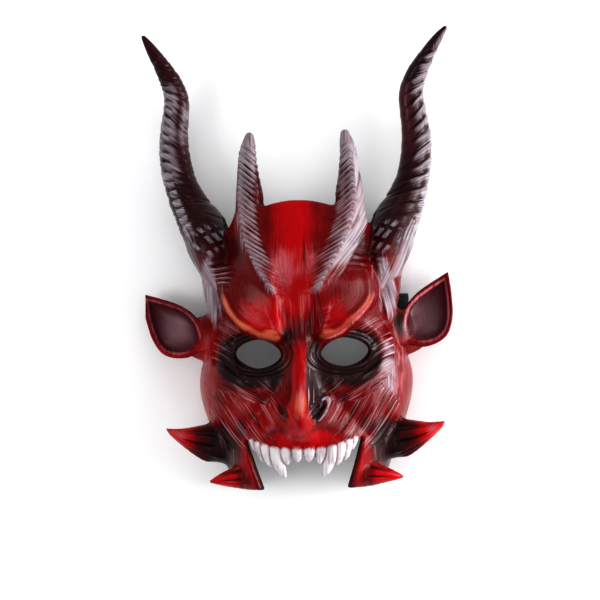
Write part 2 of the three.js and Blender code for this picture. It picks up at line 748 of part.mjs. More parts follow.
// The strap, as a band with the same section all the way. Its ends lie against the inner skin.
function strapSolid() {
  const onSkin = (z) => hollowReach(STRAP_Y, z) - STRAP_GAP - STRAP_THICKNESS / 2;
  const ground = STRAP_THICKNESS / 2 + STRAP_LIFT;
  const lowestGlued = STRAP_GLUED_HEIGHTS[STRAP_GLUED_HEIGHTS.length - 1];
  const route = new THREE.CatmullRomCurve3([
    ...STRAP_GLUED_HEIGHTS.map((z) => [onSkin(z), z]),
    [onSkin(lowestGlued) + 2.5, 17],
    [STRAP_BOW - 6, 13],
    [STRAP_BOW, 6],
    [STRAP_BOW - 7, ground + 0.8],
    [62, ground],
    [34, ground],
    [8, ground + STRAP_HUMP],
    [-12, ground + STRAP_HUMP],
    [-38, ground],
    [-54, ground],
    [-62, 5],
    [-66, 14],
    ...STRAP_GLUED_HEIGHTS.toReversed().map((z) => [-onSkin(z), z]),
  ].map(([x, z]) => new THREE.Vector3(x, STRAP_Y, z)), false, 'catmullrom', 0.5);
  const rings = [];
  for (let i = 0; i <= STRAP_STEPS; i += 1) {
    const middle = route.getPointAt(i / STRAP_STEPS);
    const heading = route.getTangentAt(i / STRAP_STEPS);
    const out = new THREE.Vector3(heading.z, 0, -heading.x).multiplyScalar(STRAP_THICKNESS / 2);
    const edge = (across) => {
      const y = STRAP_Y + across * (STRAP_WIDTH / 2);
      const onFoam = ease(...STRAP_ON_FOAM, middle.z) * Math.sign(middle.x);
      const lean = onFoam * (hollowReach(y, middle.z) - hollowReach(STRAP_Y, middle.z));
      return new THREE.Vector3(middle.x + lean, y, middle.z);
    };
    const [upper, lower] = [edge(1), edge(-1)];
    rings.push([
      upper.clone().add(out),
      lower.clone().add(out),
      lower.clone().sub(out),
      upper.clone().sub(out),
    ]);
  }
  return loft(rings);
}

// A named sub-part from a solid, in its own material.
function subPart(name, body, finish) {
  const mesh = body.getMesh();
  const corners = mesh.vertProperties;
  const stride = mesh.numProp;
  const positions = new Float32Array((corners.length / stride) * 3);
  for (let i = 0; i < positions.length / 3; i += 1) {
    positions.set(corners.subarray(i * stride, i * stride + 3), i * 3);
  }
  const geometry = new THREE.BufferGeometry();
  geometry.setAttribute('position', new THREE.BufferAttribute(positions, 3));
  geometry.setIndex(new THREE.BufferAttribute(mesh.triVerts, 1));
  geometry.computeVertexNormals();
  const part = new THREE.Mesh(geometry, new THREE.MeshStandardMaterial(finish));
  part.name = name;
  return part;
}

const group = new THREE.Group();
group.add(subPart('mask', maskSolid(), FOAM));
group.add(subPart('strap', strapSolid(), WEBBING));
group.position.y = CENTRE_SHIFT;

export default group;
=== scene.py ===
# %% [markdown]
# # A foam devil mask: from one field of distances to painted skin
# The mask is one casting of soft foam, so this lesson makes it as one skin. Each form, such as a
# horn or an ear, is a field: a number for every point in space, negative inside the foam. Fields
# flow into each other like wet clay, which joined meshes don't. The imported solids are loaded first
# and give the frame: the mask lies on its back, X runs across the face, Y from jaw to horn tips.

# %% Load the frame
import math
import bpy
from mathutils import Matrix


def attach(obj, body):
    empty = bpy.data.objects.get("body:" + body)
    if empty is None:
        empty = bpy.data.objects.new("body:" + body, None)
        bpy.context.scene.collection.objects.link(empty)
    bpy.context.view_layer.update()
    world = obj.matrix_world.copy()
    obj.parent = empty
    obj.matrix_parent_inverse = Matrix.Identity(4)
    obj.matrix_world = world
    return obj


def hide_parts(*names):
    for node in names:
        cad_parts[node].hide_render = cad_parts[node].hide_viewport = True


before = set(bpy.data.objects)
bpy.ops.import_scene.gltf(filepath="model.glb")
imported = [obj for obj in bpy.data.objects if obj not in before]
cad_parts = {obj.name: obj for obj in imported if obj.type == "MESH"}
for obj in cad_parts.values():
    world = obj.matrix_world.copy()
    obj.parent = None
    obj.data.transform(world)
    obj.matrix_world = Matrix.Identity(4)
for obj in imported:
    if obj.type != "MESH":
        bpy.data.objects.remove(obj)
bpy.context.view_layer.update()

from types import SimpleNamespace as Named

import bpy
import numpy as np
from mathutils import Vector

# %% [markdown]
# ## Units and the helpers for smooth numbers
# Blender works in metres. Sizes here are in millimetres, as a mould maker writes them, and are
# turned into metres when a mesh is made. `ease`, `fade`, `band` and `bell` shape nearly every form
# below. `along` draws a smooth curve through a short list of stations, so a horn needs a dozen rows.

# %% Units, sides and chance
MM = 0.001
CENTRE_SHIFT = 1.2
RANDOM = np.random.default_rng(31)
SIDES = (-1, 1)
print("the left side of the face is", SIDES[0], "and the right side", SIDES[1])


# %% Smooth steps and bells
def ease(start, end, value):
    """Goes smoothly from 0 at the start to 1 at the end."""
    part = np.clip((value - start) / (end - start), 0, 1)
    return part * part * (3 - 2 * part)


def fade(start, end, value):
    """Goes smoothly from 1 at the start to 0 at the end."""
    return 1 - ease(start, end, value)


def band(rise, full, start, end, value):
    """Rises from 0 to 1 between the first two numbers and falls again between the next two."""
    return ease(rise, full, value) * fade(start, end, value)


def bell(distance, width):
    """1 at the middle, falling to nothing beyond about twice the width."""
    return np.exp(-((distance / width) ** 2))


print("a step at its middle:", float(ease(0, 2, 1)), "and a bell at its width:", round(float(bell(1, 1)), 2))


# %% Curves through stations
def along(stations, column, place):
    """Reads one column of a list of stations at a place between them, on a smooth curve."""
    rows = np.asarray(stations, float)
    places, values = rows[:, 0], rows[:, column]
    last = len(rows) - 1
    before = np.maximum(np.arange(last + 1) - 1, 0)
    after = np.minimum(np.arange(last + 1) + 1, last)
    slopes = (values[after] - values[before]) / (places[after] - places[before])
    i = np.clip(np.searchsorted(places, place) - 1, 0, last - 1)
    span = places[i + 1] - places[i]
    t = np.clip((place - places[i]) / span, 0, 1)
    rise = values[i + 1] - values[i]
    start = slopes[i] * span - rise
    end = rise - slopes[i + 1] * span
    return values[i] + t * rise + t * (1 - t) * ((1 - t) * start + t * end)


print("halfway between two stations:", along([(0, 0), (1, 2), (2, 2)], 1, np.array([0.5])))

# %% [markdown]
# ## The camera
# The photograph shows the mask upright. It can't stand alone, so it lies down and the camera looks
# down on it instead. It leans a little to the right of the face and is rolled by under two
# degrees, as the photograph is. A long lens from three metres keeps near and far forms in scale.

# %% Camera over the lying mask
PHOTO_WIDTH = 480
CAMERA_DISTANCE = 3000
CAMERA_AIM = Vector((-1.2, -32.3, 45))
CAMERA_LEAN = math.radians(3.0)
CAMERA_ROLL = math.radians(1.64)
SENSOR_WIDTH = 36

camera_data = bpy.data.cameras.new("camera")
camera = bpy.data.objects.new("camera", camera_data)
bpy.context.scene.collection.objects.link(camera)
camera_data.sensor_width = SENSOR_WIDTH
camera_data.lens = SENSOR_WIDTH * CAMERA_DISTANCE / PHOTO_WIDTH
back = Vector((math.sin(CAMERA_LEAN), 0, math.cos(CAMERA_LEAN)))
upward = Vector((math.sin(CAMERA_ROLL), math.cos(CAMERA_ROLL), 0))
across = upward.cross(back).normalized()
upward = back.cross(across)
camera.matrix_world.col[0] = (*across, 0)
camera.matrix_world.col[1] = (*upward, 0)
camera.matrix_world.col[2] = (*back, 0)
camera.matrix_world.col[3] = (*((CAMERA_AIM + back * CAMERA_DISTANCE) * MM), 1)
bpy.context.scene.camera = camera
print("lens", round(camera_data.lens, 1), "mm, camera", round(camera.location.z, 2), "m over the floor")

# %% [markdown]
# ## The face shell
# The shell is half a tube of foam. Its section is a superellipse, rounder than a box and squarer
# than a circle, whose width and depth follow stations from jaw to forehead. On it stand the
# large forms of the face, each a small function of the place: nose, brows, sockets, horn roots.

# %% Sizes of the shell and of the forms on it
FOAM_THICKNESS = 7
JAW_END = -184
FOREHEAD_TOP = 45.5
FOREHEAD_ARCH = 0.0066
HORN_FOOT = Named(x=42, half_width=8, rise=14)
SECTION_POWER = 2.3
FACE_STATIONS = [
    (-200, 52, 68), (-184, 59, 74), (-163, 67.5, 80), (-128, 80, 86), (-98, 84.6, 86),
    (-60, 76.5, 88), (-30, 73, 92), (15, 70, 90), (45, 66, 84), (60, 64, 80),
]
NOSE_STATIONS = [
    (-148, 0, 10), (-141, 11, 11), (-132, 24, 12), (-122, 27, 12),
    (-106, 21, 10.5), (-85, 12, 9), (-64, 4, 8), (-46, 0, 8),
]
NOSE_SECTION_POWER = 4
NOSTRIL = Named(x=15, y=-120, radius=9, height=10)
EYE = Named(x=34.3, y=-75.5, half_length=18.5, half_height=11.3, power=1.7)
EYE_TILT = math.radians(3)
SOCKET = Named(x=35, y=-75, half_length=30, half_height=19, depth=9)
EYELID = Named(height=2.5, width=0.2, at=1.15)
BROW = Named(x=24, y=-23.5, radius=38, height=8, edge=4, droop=0.2, droop_from=40)
BROW_RIM = Named(height=1.8, inset=3, width=4)
BROW_LIFT = Named(by=5.5, y=-44, reach=14)
FROWN = Named(spacing=9, depth=2.2, half_width=13, spread=0.5, spread_from=-50)
HORN_ROOT_STATIONS = [
    (-46, 11, 0, 6), (-31, 15, 3, 7), (-7, 28.5, 6, 10),
    (17, 40, 9, 12), (43, 45, 11, 13), (60, 45.5, 10, 13),
]
CHEEKBONE = Named(x=62, y=-98, radius=24, height=4.5)
MUZZLE = Named(y=-139, half_height=13, height=5)
SMILE_FOLD = Named(start=(20, -106), end=(50, -142), width=6.5, depth=2.2)
NOSE_EDGE = Named(share=0.24, narrower=0.42)
NOSE_WING = Named(start=(17, -112), end=(7.5, -133), width=2.6, depth=3)
FOREHEAD_SKEW = Named(shift=3.5, y=-4, reach=28)
print("foam", FOAM_THICKNESS, "mm thick, from", JAW_END, "to", FOREHEAD_TOP, "mm along Y")


# %% The nose, as a height over the plain shell
def nose_ridge(x, y, narrower=1.0):
    """A broad ridge with a sharper one on top of it."""
    width = along(NOSE_STATIONS, 2, y) * narrower
    broad = 1 / (1 + (x / width) ** NOSE_SECTION_POWER)
    sharp = 1 / (1 + (x / (NOSE_EDGE.narrower * width)) ** 2)
    return along(NOSE_STATIONS, 1, y) * broad * (1 - NOSE_EDGE.share * (1 - sharp))


def nostril(x, y):
    return NOSTRIL.height * bell(np.hypot(x - NOSTRIL.x, y - NOSTRIL.y), NOSTRIL.radius)


print("the nose is highest at", max(NOSE_STATIONS, key=lambda row: row[1])[0], "mm along Y")


# %% [markdown]
# ## Brows, sockets and the frown
# The brows are two round lobes with a rim that droops towards the nose. Each is a flat-topped step
# with a bell along its edge. The sockets are soft hollows below them, and the frown between them is
# a wave that is shown in one place only.

# %% Brows and sockets
def brow_edge(x, y):
    """Distance outside the round edge of the brow lobe, which droops towards the nose."""
    lower = BROW.droop * np.maximum(0, BROW.droop_from - x)
    return np.hypot(x - BROW.x, y + lower - BROW.y) - BROW.radius


def brow_lobe(x, y):
    outside = brow_edge(x, y)
    lobe = BROW.height * fade(-BROW.edge, BROW.edge, outside)
    rim = BROW_RIM.height * bell(outside + BROW_RIM.inset, BROW_RIM.width)
    return fade(-22, 8, y) * ease(9, 19, x) * (lobe + rim)


def from_eye(x, y):
    """1 on the edge of the round eye field, less inside it."""
    return np.hypot((x - EYE.x) / EYE.half_length, (y - EYE.y) / EYE.half_height)


def eye_socket(x, y):
    away = np.hypot((x - SOCKET.x) / SOCKET.half_length, (y - SOCKET.y) / SOCKET.half_height)
    lid = EYELID.height * bell(from_eye(x, y) - EYELID.at, EYELID.width)
    return lid - SOCKET.depth * fade(0.55, 1.15, away)


def frown_folds(x, y):
    shown = band(-72, -62, -36, -18, y)
    spacing = FROWN.spacing + FROWN.spread * np.maximum(0, y - FROWN.spread_from)
    wave = 0.5 + 0.5 * np.cos(2 * np.pi * x / spacing)
    return -FROWN.depth * shown * bell(x, FROWN.half_width) * wave


print("the middle of a brow stands", round(float(brow_lobe(BROW.x, -30.0)), 1), "mm up")


# %% Horn roots, muzzle and cheeks
def horn_root(x, y):
    middle, height, width = [along(HORN_ROOT_STATIONS, column, y) for column in (1, 2, 3)]
    return height * bell(x - middle, width)


def muzzle(x, y):
    return MUZZLE.height * bell(y - MUZZLE.y, MUZZLE.half_height) * fade(25, 50, x)


def cheekbone(x, y):
    away = np.hypot(x - CHEEKBONE.x, y - CHEEKBONE.y)
    return CHEEKBONE.height * bell(away, CHEEKBONE.radius)


def from_line(x, y, start, end):
    """Distance from a straight line between two points."""
    run = np.subtract(end, start)
    part = ((x - start[0]) * run[0] + (y - start[1]) * run[1]) / (run @ run)
    part = np.clip(part, 0, 1)
    return np.hypot(x - start[0] - part * run[0], y - start[1] - part * run[1])


def smile_fold(x, y):
    away = from_line(x, y, SMILE_FOLD.start, SMILE_FOLD.end)
    return -SMILE_FOLD.depth * bell(away, SMILE_FOLD.width)


def nose_wing(x, y):
    away = from_line(x, y, NOSE_WING.start, NOSE_WING.end)
    return -NOSE_WING.depth * bell(away, NOSE_WING.width)


print("the root of an inner horn stands", round(float(horn_root(40.0, np.array(17.0))), 1), "mm up")


# %% The outer and the inner side
def skewed(x, y):
    """The carving on the forehead sits a little to the left of the middle in this casting."""
    return x + FOREHEAD_SKEW.shift * bell(y - FOREHEAD_SKEW.y, FOREHEAD_SKEW.reach)


def lifted(x, y):
    """The right brow sits a little higher than the left one."""
    return y - BROW_LIFT.by * bell(y - BROW_LIFT.y, BROW_LIFT.reach) * ease(4, 20, x)


def outer_relief(x, y):
    return (nose_ridge(x, y) + nostril(x, y) + brow_lobe(x, y) + eye_socket(x, y) + frown_folds(x, y)
            + horn_root(x, y) + muzzle(x, y) + cheekbone(x, y) + smile_fold(x, y) + nose_wing(x, y))


def inner_relief(x, y):
    return (0.6 * nose_ridge(x, y, 0.8) + 0.7 * brow_lobe(x, y) + np.minimum(eye_socket(x, y), 0)
            + muzzle(x, y) + cheekbone(x, y))


print("the nose stands", round(float(outer_relief(np.array(0.0), np.array(-122.0))), 1), "mm off the shell")

# %% [markdown]
# ## Fields and how they flow together
# A field gives roughly the distance to a form's surface. `flow` is a smooth minimum: two forms melt
# into one within a small radius, as a sculptor smears clay over a joint. `carve` is the same the
# other way round and cuts one form out of another, with a softly rounded edge.


# %% Join and cut fields
def flow(first, second, radius):
    part = np.clip(0.5 + 0.5 * (second - first) / radius, 0, 1)
    return second + (first - second) * part - radius * part * (1 - part)


def within(first, second, radius):
    return -flow(-first, -second, radius)


def carve(body, cut, radius):
    return within(body, -cut, radius)


print("where two forms are 1 mm away, their flow is", float(flow(1.0, 1.0, 5.0)), "mm away")


# %% The skins of the shell
def steepness(relief, x, y):
    """How much longer a sloping surface makes a distance that is measured straight up."""
    step = 0.5
    slope_x = (relief(x + step, y) - relief(np.abs(x - step), y)) / (2 * step)
    slope_y = (relief(x, y + step) - relief(x, y - step)) / (2 * step)
    return np.sqrt(1 + slope_x ** 2 + slope_y ** 2)


def skin_field(x, y, z, inset, relief):
    """Distance outside a skin of the shell: the outer one, or the inner one with an inset."""
    half_width = along(FACE_STATIONS, 1, y) - inset
    depth = along(FACE_STATIONS, 2, y) - inset
    share = np.abs(x / half_width) ** SECTION_POWER + np.abs(z / depth) ** SECTION_POWER
    radius = np.hypot(x, z) + 1e-6
    plain = radius * (1 - share ** (-1 / SECTION_POWER))
    far, level = np.abs(skewed(x, y)), lifted(x, y)
    return (plain - relief(far, level)) / steepness(relief, far, level)


def forehead_edge(x):
    """The arched upper edge, which runs up under the feet of the inner horns."""
    arch = FOREHEAD_TOP - FOREHEAD_ARCH * np.minimum(np.abs(x), FACE_STATIONS[-2][1]) ** 2
    return arch + HORN_FOOT.rise * bell(np.abs(x) - HORN_FOOT.x, HORN_FOOT.half_width)


def outer_skin(x, y, z):
    return skin_field(x, y, z, 0, outer_relief)


def inner_skin(x, y, z):
    return skin_field(x, y, z, FOAM_THICKNESS, inner_relief)


print("the middle of the forehead ends at", round(float(forehead_edge(np.array(0.0))), 1), "mm along Y")

# %% [markdown]
# ## Horns, spikes and teeth
# All of them are tapering forms round a bent line: stations give the line's place and the half
# width and half depth of its section. To know how far a point in space is from such a form, the
# point is first dropped onto the line by a few steps of a simple search. What it finds on the way
# (distance from the root, and how far to the outer side) is used again for ridges and for paint.

# %% Stations of the horns and spikes: x, y, z, half width, half depth
BIG_HORN_STATIONS = [
    (50, -30, 30, 12, 20), (65, -3, 32, 18.5, 33.5), (75, 22, 29, 19, 31), (84.6, 41, 26, 15.6, 20),
    (92.2, 60, 23.5, 13.2, 16), (96.2, 80, 21.5, 12.4, 13.6), (96.8, 99, 21, 11.4, 12),
    (94.6, 117, 22, 10.4, 10.8), (94, 132, 24.5, 9.6, 9.8), (99.4, 147.5, 29, 8, 8.4),
    (108, 162, 35, 5.8, 6.2), (115.4, 173, 40.5, 4, 4.2), (120.8, 180.4, 44.6, 1.8, 1.8),
]
BIG_HORN_SWAYS = (-4.0, -2.0)
INNER_HORN_STATIONS = [
    (43, 12, 62, 10.5, 12), (40.6, 32, 68, 11, 12), (39.6, 48, 72.5, 11, 11.4), (40.2, 64, 76, 9, 9.4),
    (40, 80, 79, 7, 7.4), (38.6, 91, 81.5, 5.4, 5.8), (37.8, 96.6, 83, 3.6, 3.8),
]
INNER_HORN_LEAN = 2.2
UPPER_SPIKE_STATIONS = [
    (62, -147, 30, 17, 15), (76, -145.5, 33, 15, 12.5), (88, -143, 36, 11, 9.5),
    (99, -140, 38, 6.6, 6.4), (107, -136.8, 39.5, 3.2, 3.4), (111.3, -134.2, 40, 0.9, 0.9),
]
LOWER_SPIKE_STATIONS = [
    (40, -172.5, 50, 8, 9), (52, -173.2, 50, 8.4, 9), (62, -174.4, 48.5, 6.6, 7),
    (70.5, -175.8, 46.5, 3.8, 4.2), (77, -176.8, 45, 1, 1),
]
TEMPLE_FLANK_STATIONS = [
    (62, 2, 34, 14, 26), (69, -20, 30, 10.5, 22), (70, -34, 27, 7, 16), (70, -50, 24, 3.5, 8),
]
EAR_STALK_STATIONS = [
    (60, -61, 28, 19, 12), (76, -62, 26, 19, 9), (86, -61, 17.5, 17, 6), (98, -57, 11.5, 12, 3.4),
]
print("a big horn follows", len(BIG_HORN_STATIONS), "stations and an inner one", len(INNER_HORN_STATIONS))


# %% A tapering form round a bent line
class Tapered:
    """A form round a line of stations, with its samples an even distance apart."""

    def __init__(self, stations, side, sway=0.0, lean=0.0, samples=240):
        rows = np.asarray(stations, float)
        numbered = np.column_stack([np.arange(len(rows)), rows])
        fine = np.linspace(0, len(rows) - 1, 4 * samples)
        columns = np.column_stack([along(numbered, column, fine) for column in range(1, 6)])
        columns[:, 0] = side * columns[:, 0] + lean
        columns[:, 0] += sway * np.sin(np.pi * np.clip(fine - 1, 0, None) / (len(rows) - 2))
        steps = np.linalg.norm(np.diff(columns[:, :3], axis=0), axis=1)
        run = np.concatenate([[0], np.cumsum(steps)])
        self.length = run[-1]
        self.step = self.length / (samples - 1)
        even = np.linspace(0, self.length, samples)
        self.middle = np.column_stack([np.interp(even, run, columns[:, i]) for i in range(3)])
        self.size = np.column_stack([np.interp(even, run, columns[:, i]) for i in (3, 4)])
        self.heading = np.gradient(self.middle, self.step, axis=0)
        self.heading /= np.linalg.norm(self.heading, axis=1)[:, None]
        self.outward = np.column_stack([self.heading[:, 1], -self.heading[:, 0], np.zeros(samples)])
        self.outward *= side / np.linalg.norm(self.outward, axis=1)[:, None]
        self.upward = np.cross(self.outward, self.heading) * side

    def read(self, rows, place):
        """The rows' values at places counted in samples from the root."""
        i = np.clip(place.astype(int), 0, len(rows) - 2)
        part = (place - i)[:, None]
        return rows[i] * (1 - part) + rows[i + 1] * part

    def drop(self, x, y, z):
        """For every point: distance outside the form, and the way along, outward and up."""
        points = np.column_stack([np.ravel(v) for v in np.broadcast_arrays(x, y, z)])
        chord = self.middle[-1] - self.middle[0]
        progress = (self.middle - self.middle[0]) @ chord
        place = np.interp((points - self.middle[0]) @ chord, progress, np.arange(len(progress)))
        for _ in range(4):
            ahead = np.sum((points - self.read(self.middle, place)) * self.read(self.heading, place), axis=1)
            place = np.clip(place + ahead / self.step, 0, len(progress) - 1)
        offset = points - self.read(self.middle, place)
        size = self.read(self.size, place)
        out = np.sum(offset * self.read(self.outward, place), axis=1)
        up = np.sum(offset * self.read(self.upward, place), axis=1)
        over = np.sum(offset * self.read(self.heading, place), axis=1)
        cap = size.min(axis=1)
        near = np.sqrt((out / size[:, 0]) ** 2 + (up / size[:, 1]) ** 2 + (over / cap) ** 2) + 1e-6
        slope = np.sqrt((out / size[:, 0] ** 2) ** 2 + (up / size[:, 1] ** 2) ** 2 + (over / cap ** 2) ** 2)
        outside = near * (near - 1) / (slope + 1e-6)
        shape = np.broadcast(x, y, z).shape
        return Named(
            outside=outside.reshape(shape), run=(place * self.step).reshape(shape),
            out=(out / size[:, 0]).reshape(shape), up=(up / size[:, 1]).reshape(shape),
            half_width=size[:, 0].reshape(shape))

    def box(self, margin):
        """Lowest and highest corner of the form with a margin round it."""
        reach = self.size.max(axis=1)[:, None] + margin
        return (self.middle - reach).min(axis=0), (self.middle + reach).max(axis=0)


bar = Tapered([(0, 0, 0, 5, 5), (0, 20, 0, 5, 5), (0, 40, 0, 5, 5)], 1)
print("12 mm from the middle of a bar 5 mm in radius:", bar.drop(12.0, 20.0, 0.0).outside.round(2), "mm off")

# %% [markdown]
# ## One form on each side
# The mask is nearly the same on both sides, so each form is made twice from the same stations. The
# big horns both sway to the left, the left one more, and the inner ones stand a little to the right.

# %% Both sides
def both_sides(stations, sways=(0, 0), lean=0):
    return {side: Tapered(stations, side, sway, lean) for side, sway in zip(SIDES, sways)}


big_horns = both_sides(BIG_HORN_STATIONS, BIG_HORN_SWAYS)
inner_horns = both_sides(INNER_HORN_STATIONS, lean=INNER_HORN_LEAN)
upper_spikes = both_sides(UPPER_SPIKE_STATIONS)
lower_spikes = both_sides(LOWER_SPIKE_STATIONS)
ear_stalks = both_sides(EAR_STALK_STATIONS)
temple_flanks = both_sides(TEMPLE_FLANK_STATIONS)
print("big horns", round(big_horns[1].length), "mm long, inner horns", round(inner_horns[1].length), "mm")

# %% [markdown]
# ## The ears
# An ear is a cupped leaf of foam under five millimetres thick. Its outline is given as the reach
# above and below the line from root to tip. A point's share of the way from the deepest spot of
# the cup to the outline says how deep the cup is there and where its rolled rim lies.

# %% A cupped leaf
EAR_ROOT = (83, -66, 31)
EAR_OUTLINE = [(-6, 0, 0), (1, 7, 16), (16, 13.6, 26), (31, 13.2, 23.6), (47, 7.4, 13.6), (63, 0, 0)]
EAR_AXIS = math.radians(48.5)
EAR_TURN = math.radians(8)
EAR_STRETCH = -0.01
EAR_FALL = 0.24
EAR_SEAT = Named(along=24, below=5, depth=10, power=2.5)
EAR_THICKNESS = 4.5
EAR_RIM = Named(at=0.88, width=0.1, height=1.6)


def ear_outline():
    """The outline's distance from the seat of the cup, for directions all round it."""
    turn = np.linspace(0, 2 * np.pi, 360, endpoint=False)
    first, last = EAR_OUTLINE[0][0], EAR_OUTLINE[-1][0]
    way = first + (last - first) * (0.5 + 0.5 * np.cos(turn))
    above = -np.maximum(along(EAR_OUTLINE, 1, way), 0)
    below = np.maximum(along(EAR_OUTLINE, 2, way), 0)
    reach = np.where(np.sin(turn) > 0, below, above)
    direction = np.arctan2(reach - EAR_SEAT.below, way - EAR_SEAT.along)
    distance = np.hypot(reach - EAR_SEAT.below, way - EAR_SEAT.along)
    order = np.argsort(direction)
    return direction[order], distance[order]


EAR_DIRECTIONS, EAR_DISTANCES = ear_outline()


def ear_place(x, y, side):
    """Where a point lies on an ear's leaf: the way to the tip, and the share of the way to the rim."""
    turn = EAR_AXIS + side * EAR_TURN
    away_x, away_y = side * x - EAR_ROOT[0], y - EAR_ROOT[1]
    way = away_x * math.cos(turn) + away_y * math.sin(turn)
    below = away_x * math.sin(turn) - away_y * math.cos(turn)
    flat = way / (1 + side * EAR_STRETCH) - EAR_SEAT.along
    low = below - EAR_SEAT.below
    reach = np.interp(np.arctan2(low, flat), EAR_DIRECTIONS, EAR_DISTANCES, period=2 * np.pi)
    return way, np.hypot(flat, low) / reach, reach


def ear_field(x, y, z, side):
    way, share, reach = ear_place(x, y, side)
    sunk = EAR_SEAT.depth * (1 - np.minimum(share, 1.2) ** EAR_SEAT.power)
    rim = EAR_RIM.height * bell(share - EAR_RIM.at, EAR_RIM.width)
    front = EAR_ROOT[2] - EAR_FALL * way - sunk
    half = (EAR_THICKNESS + rim) / 2
    sheet = (np.abs(z - front - rim + half) - half) * 0.86
    return within((share - 1) * reach * 0.85, sheet, 2.0)


print("an ear is", EAR_OUTLINE[-1][0] - EAR_OUTLINE[0][0], "mm long")

# %% [markdown]
# ## Teeth, mouth and eye holes
# Twelve teeth hang from the upper lip, longest at the fangs. They are tapering forms too, each on
# a straight line that leans to the middle. The mouth is cut open from the lip to the end of the
# jaw, and its sides flare towards the front. The eye holes are almonds cut straight through.

# %% Teeth
MOUTH = Named(corner_x=42, corner_y=-141.5, lip_y=-150.5, end_x=33.6, lip_power=2.4)
JAW_CUT = Named(middle_z=60, back_z=30, front_z=90, flare=0.85)
TEETH = [
    (4.8, 8.6, 10.5, 0.4), (13.6, 8.8, 13, 0.8), (22.4, 9.4, 24.5, 7.5),
    (29.6, 8, 17.5, 3.6), (35.2, 7, 15.5, 2.6), (39.8, 5.6, 10, 1.2),
]
TOOTH_THICKNESS = 6.5
TOOTH_ROOT = 7
TOOTH_SET_BACK = 5
GUM_ARCH = 1.8
TOOTH_STATIONS = [(0, 0.96, 0), (0.4, 1.08, 0.05), (0.66, 1, 0.34), (0.88, 0.72, 0.72), (1, 0.3, 1)]


def lip_line(share):
    """The lower edge of the upper lip, at a share of the way to the corner of the mouth."""
    rise = np.clip(share, 0, 1) ** MOUTH.lip_power
    return MOUTH.lip_y + (MOUTH.corner_y - MOUTH.lip_y) * rise


SKIN_SEARCH = (30.0, 130.0)
HALVINGS = 24


def skin_height(x, y):
    """Height of the outer skin over the ground at a place on the face, found by halving."""
    low, high = SKIN_SEARCH
    for _ in range(HALVINGS):
        middle = (low + high) / 2
        if outer_skin(np.array(x), np.array(y), np.array(middle)) < 0:
            low = middle
        else:
            high = middle
    return low


def make_tooth(side, x, width, length, lean):
    lip = float(lip_line(x / MOUTH.corner_x))
    z = skin_height(x, lip + 4) - TOOTH_SET_BACK
    stations = []
    for part, wide, bent in TOOTH_STATIONS:
        y = lip + TOOTH_ROOT - part * (length + TOOTH_ROOT)
        stations.append((x - lean * bent, y, z, wide * width / 2, wide * TOOTH_THICKNESS / 2))
    return Tapered(stations, side, samples=40)


teeth = [make_tooth(side, *row) for side in SIDES for row in TEETH]
print(len(teeth), "teeth, the longest", round(max(tooth.length for tooth in teeth)), "mm")


# %% Openings
def mouth_field(x, y, z):
    wider = JAW_CUT.flare * (np.clip(z, JAW_CUT.back_z, JAW_CUT.front_z) - JAW_CUT.middle_z)
    down = (MOUTH.corner_y - y) / (MOUTH.corner_y - JAW_END + 12)
    side = MOUTH.corner_x + wider + (MOUTH.end_x - MOUTH.corner_x) * np.clip(down, 0, 1)
    share = np.abs(x) / np.maximum(MOUTH.corner_x + wider, 1)
    return within((np.abs(x) - side) * 0.76, y - lip_line(share), 4.0)


def almond(x, y):
    """1 on the edge of an eye hole, less inside it."""
    across = (x - EYE.x) * math.cos(EYE_TILT) + (y - EYE.y) * math.sin(EYE_TILT)
    upward = (y - EYE.y) * math.cos(EYE_TILT) - (x - EYE.x) * math.sin(EYE_TILT)
    power = EYE.power
    share = np.abs(across / EYE.half_length) ** power + np.abs(upward / EYE.half_height) ** power
    return share ** (1 / power)


def eye_field(x, y):
    side = np.abs(x)
    step = 0.5
    slope_x = (almond(side + step, y) - almond(side - step, y)) / (2 * step)
    slope_y = (almond(side, y + step) - almond(side, y - step)) / (2 * step)
    return (almond(side, y) - 1) / (np.hypot(slope_x, slope_y) + 0.02)


TEMPLE_NOTCH = Named(from_y=-58, to_y=-22, height=25, slope=6, from_x=50)


def notch_field(x, y, z):
    """The cut in the shell's rim at both temples, where the strap comes out."""
    splay = TEMPLE_NOTCH.slope * (1 - z / TEMPLE_NOTCH.height)
    ends = np.maximum(TEMPLE_NOTCH.from_y - splay - y, y - TEMPLE_NOTCH.to_y - splay)
    return np.maximum(np.maximum(ends, z - TEMPLE_NOTCH.height), TEMPLE_NOTCH.from_x - np.abs(x))


print("eye holes", 2 * EYE.half_length, "mm wide and", 2 * EYE.half_height, "mm high")

# %% [markdown]
# ## One skin from all fields
# The fields are read on a grid and joined. The grid is finer at the teeth than elsewhere. Where
# the number changes sign between two neighbours there is skin. `skin_of` puts one point in each
# such cell of the grid and joins the points of neighbouring cells: a method called surface nets.

# %% The grid
COARSE = 1


def spread(stops, steps):
    """Grid places between the stops, each stretch with its own step."""
    parts = []
    for low, high, step in zip(stops[:-1], stops[1:], steps):
        count = max(round((high - low) / (step * COARSE)), 1)
        parts.append(np.linspace(low, high, count, endpoint=False))
    return np.concatenate(parts + [[stops[-1]]])


GRID_X = spread([-132, -48, 48, 128], [1.0, 0.9, 1.0])
GRID_Y = spread([-187, -141, 186], [0.8, 0.95])
GRID_Z = spread([-2.2, 118], [1.0])
print("grid of", len(GRID_X), "x", len(GRID_Y), "x", len(GRID_Z), "places")


def window(low, high):
    """The part of the grid inside a box, as three ranges."""
    ranges = []
    for places, start, end in zip((GRID_X, GRID_Y, GRID_Z), low, high):
        ranges.append(slice(np.searchsorted(places, start), np.searchsorted(places, end) + 1))
    return tuple(ranges)


def grid_points(part):
    x, y, z = GRID_X[part[0]], GRID_Y[part[1]], GRID_Z[part[2]]
    return x[:, None, None], y[None, :, None], z[None, None, :]


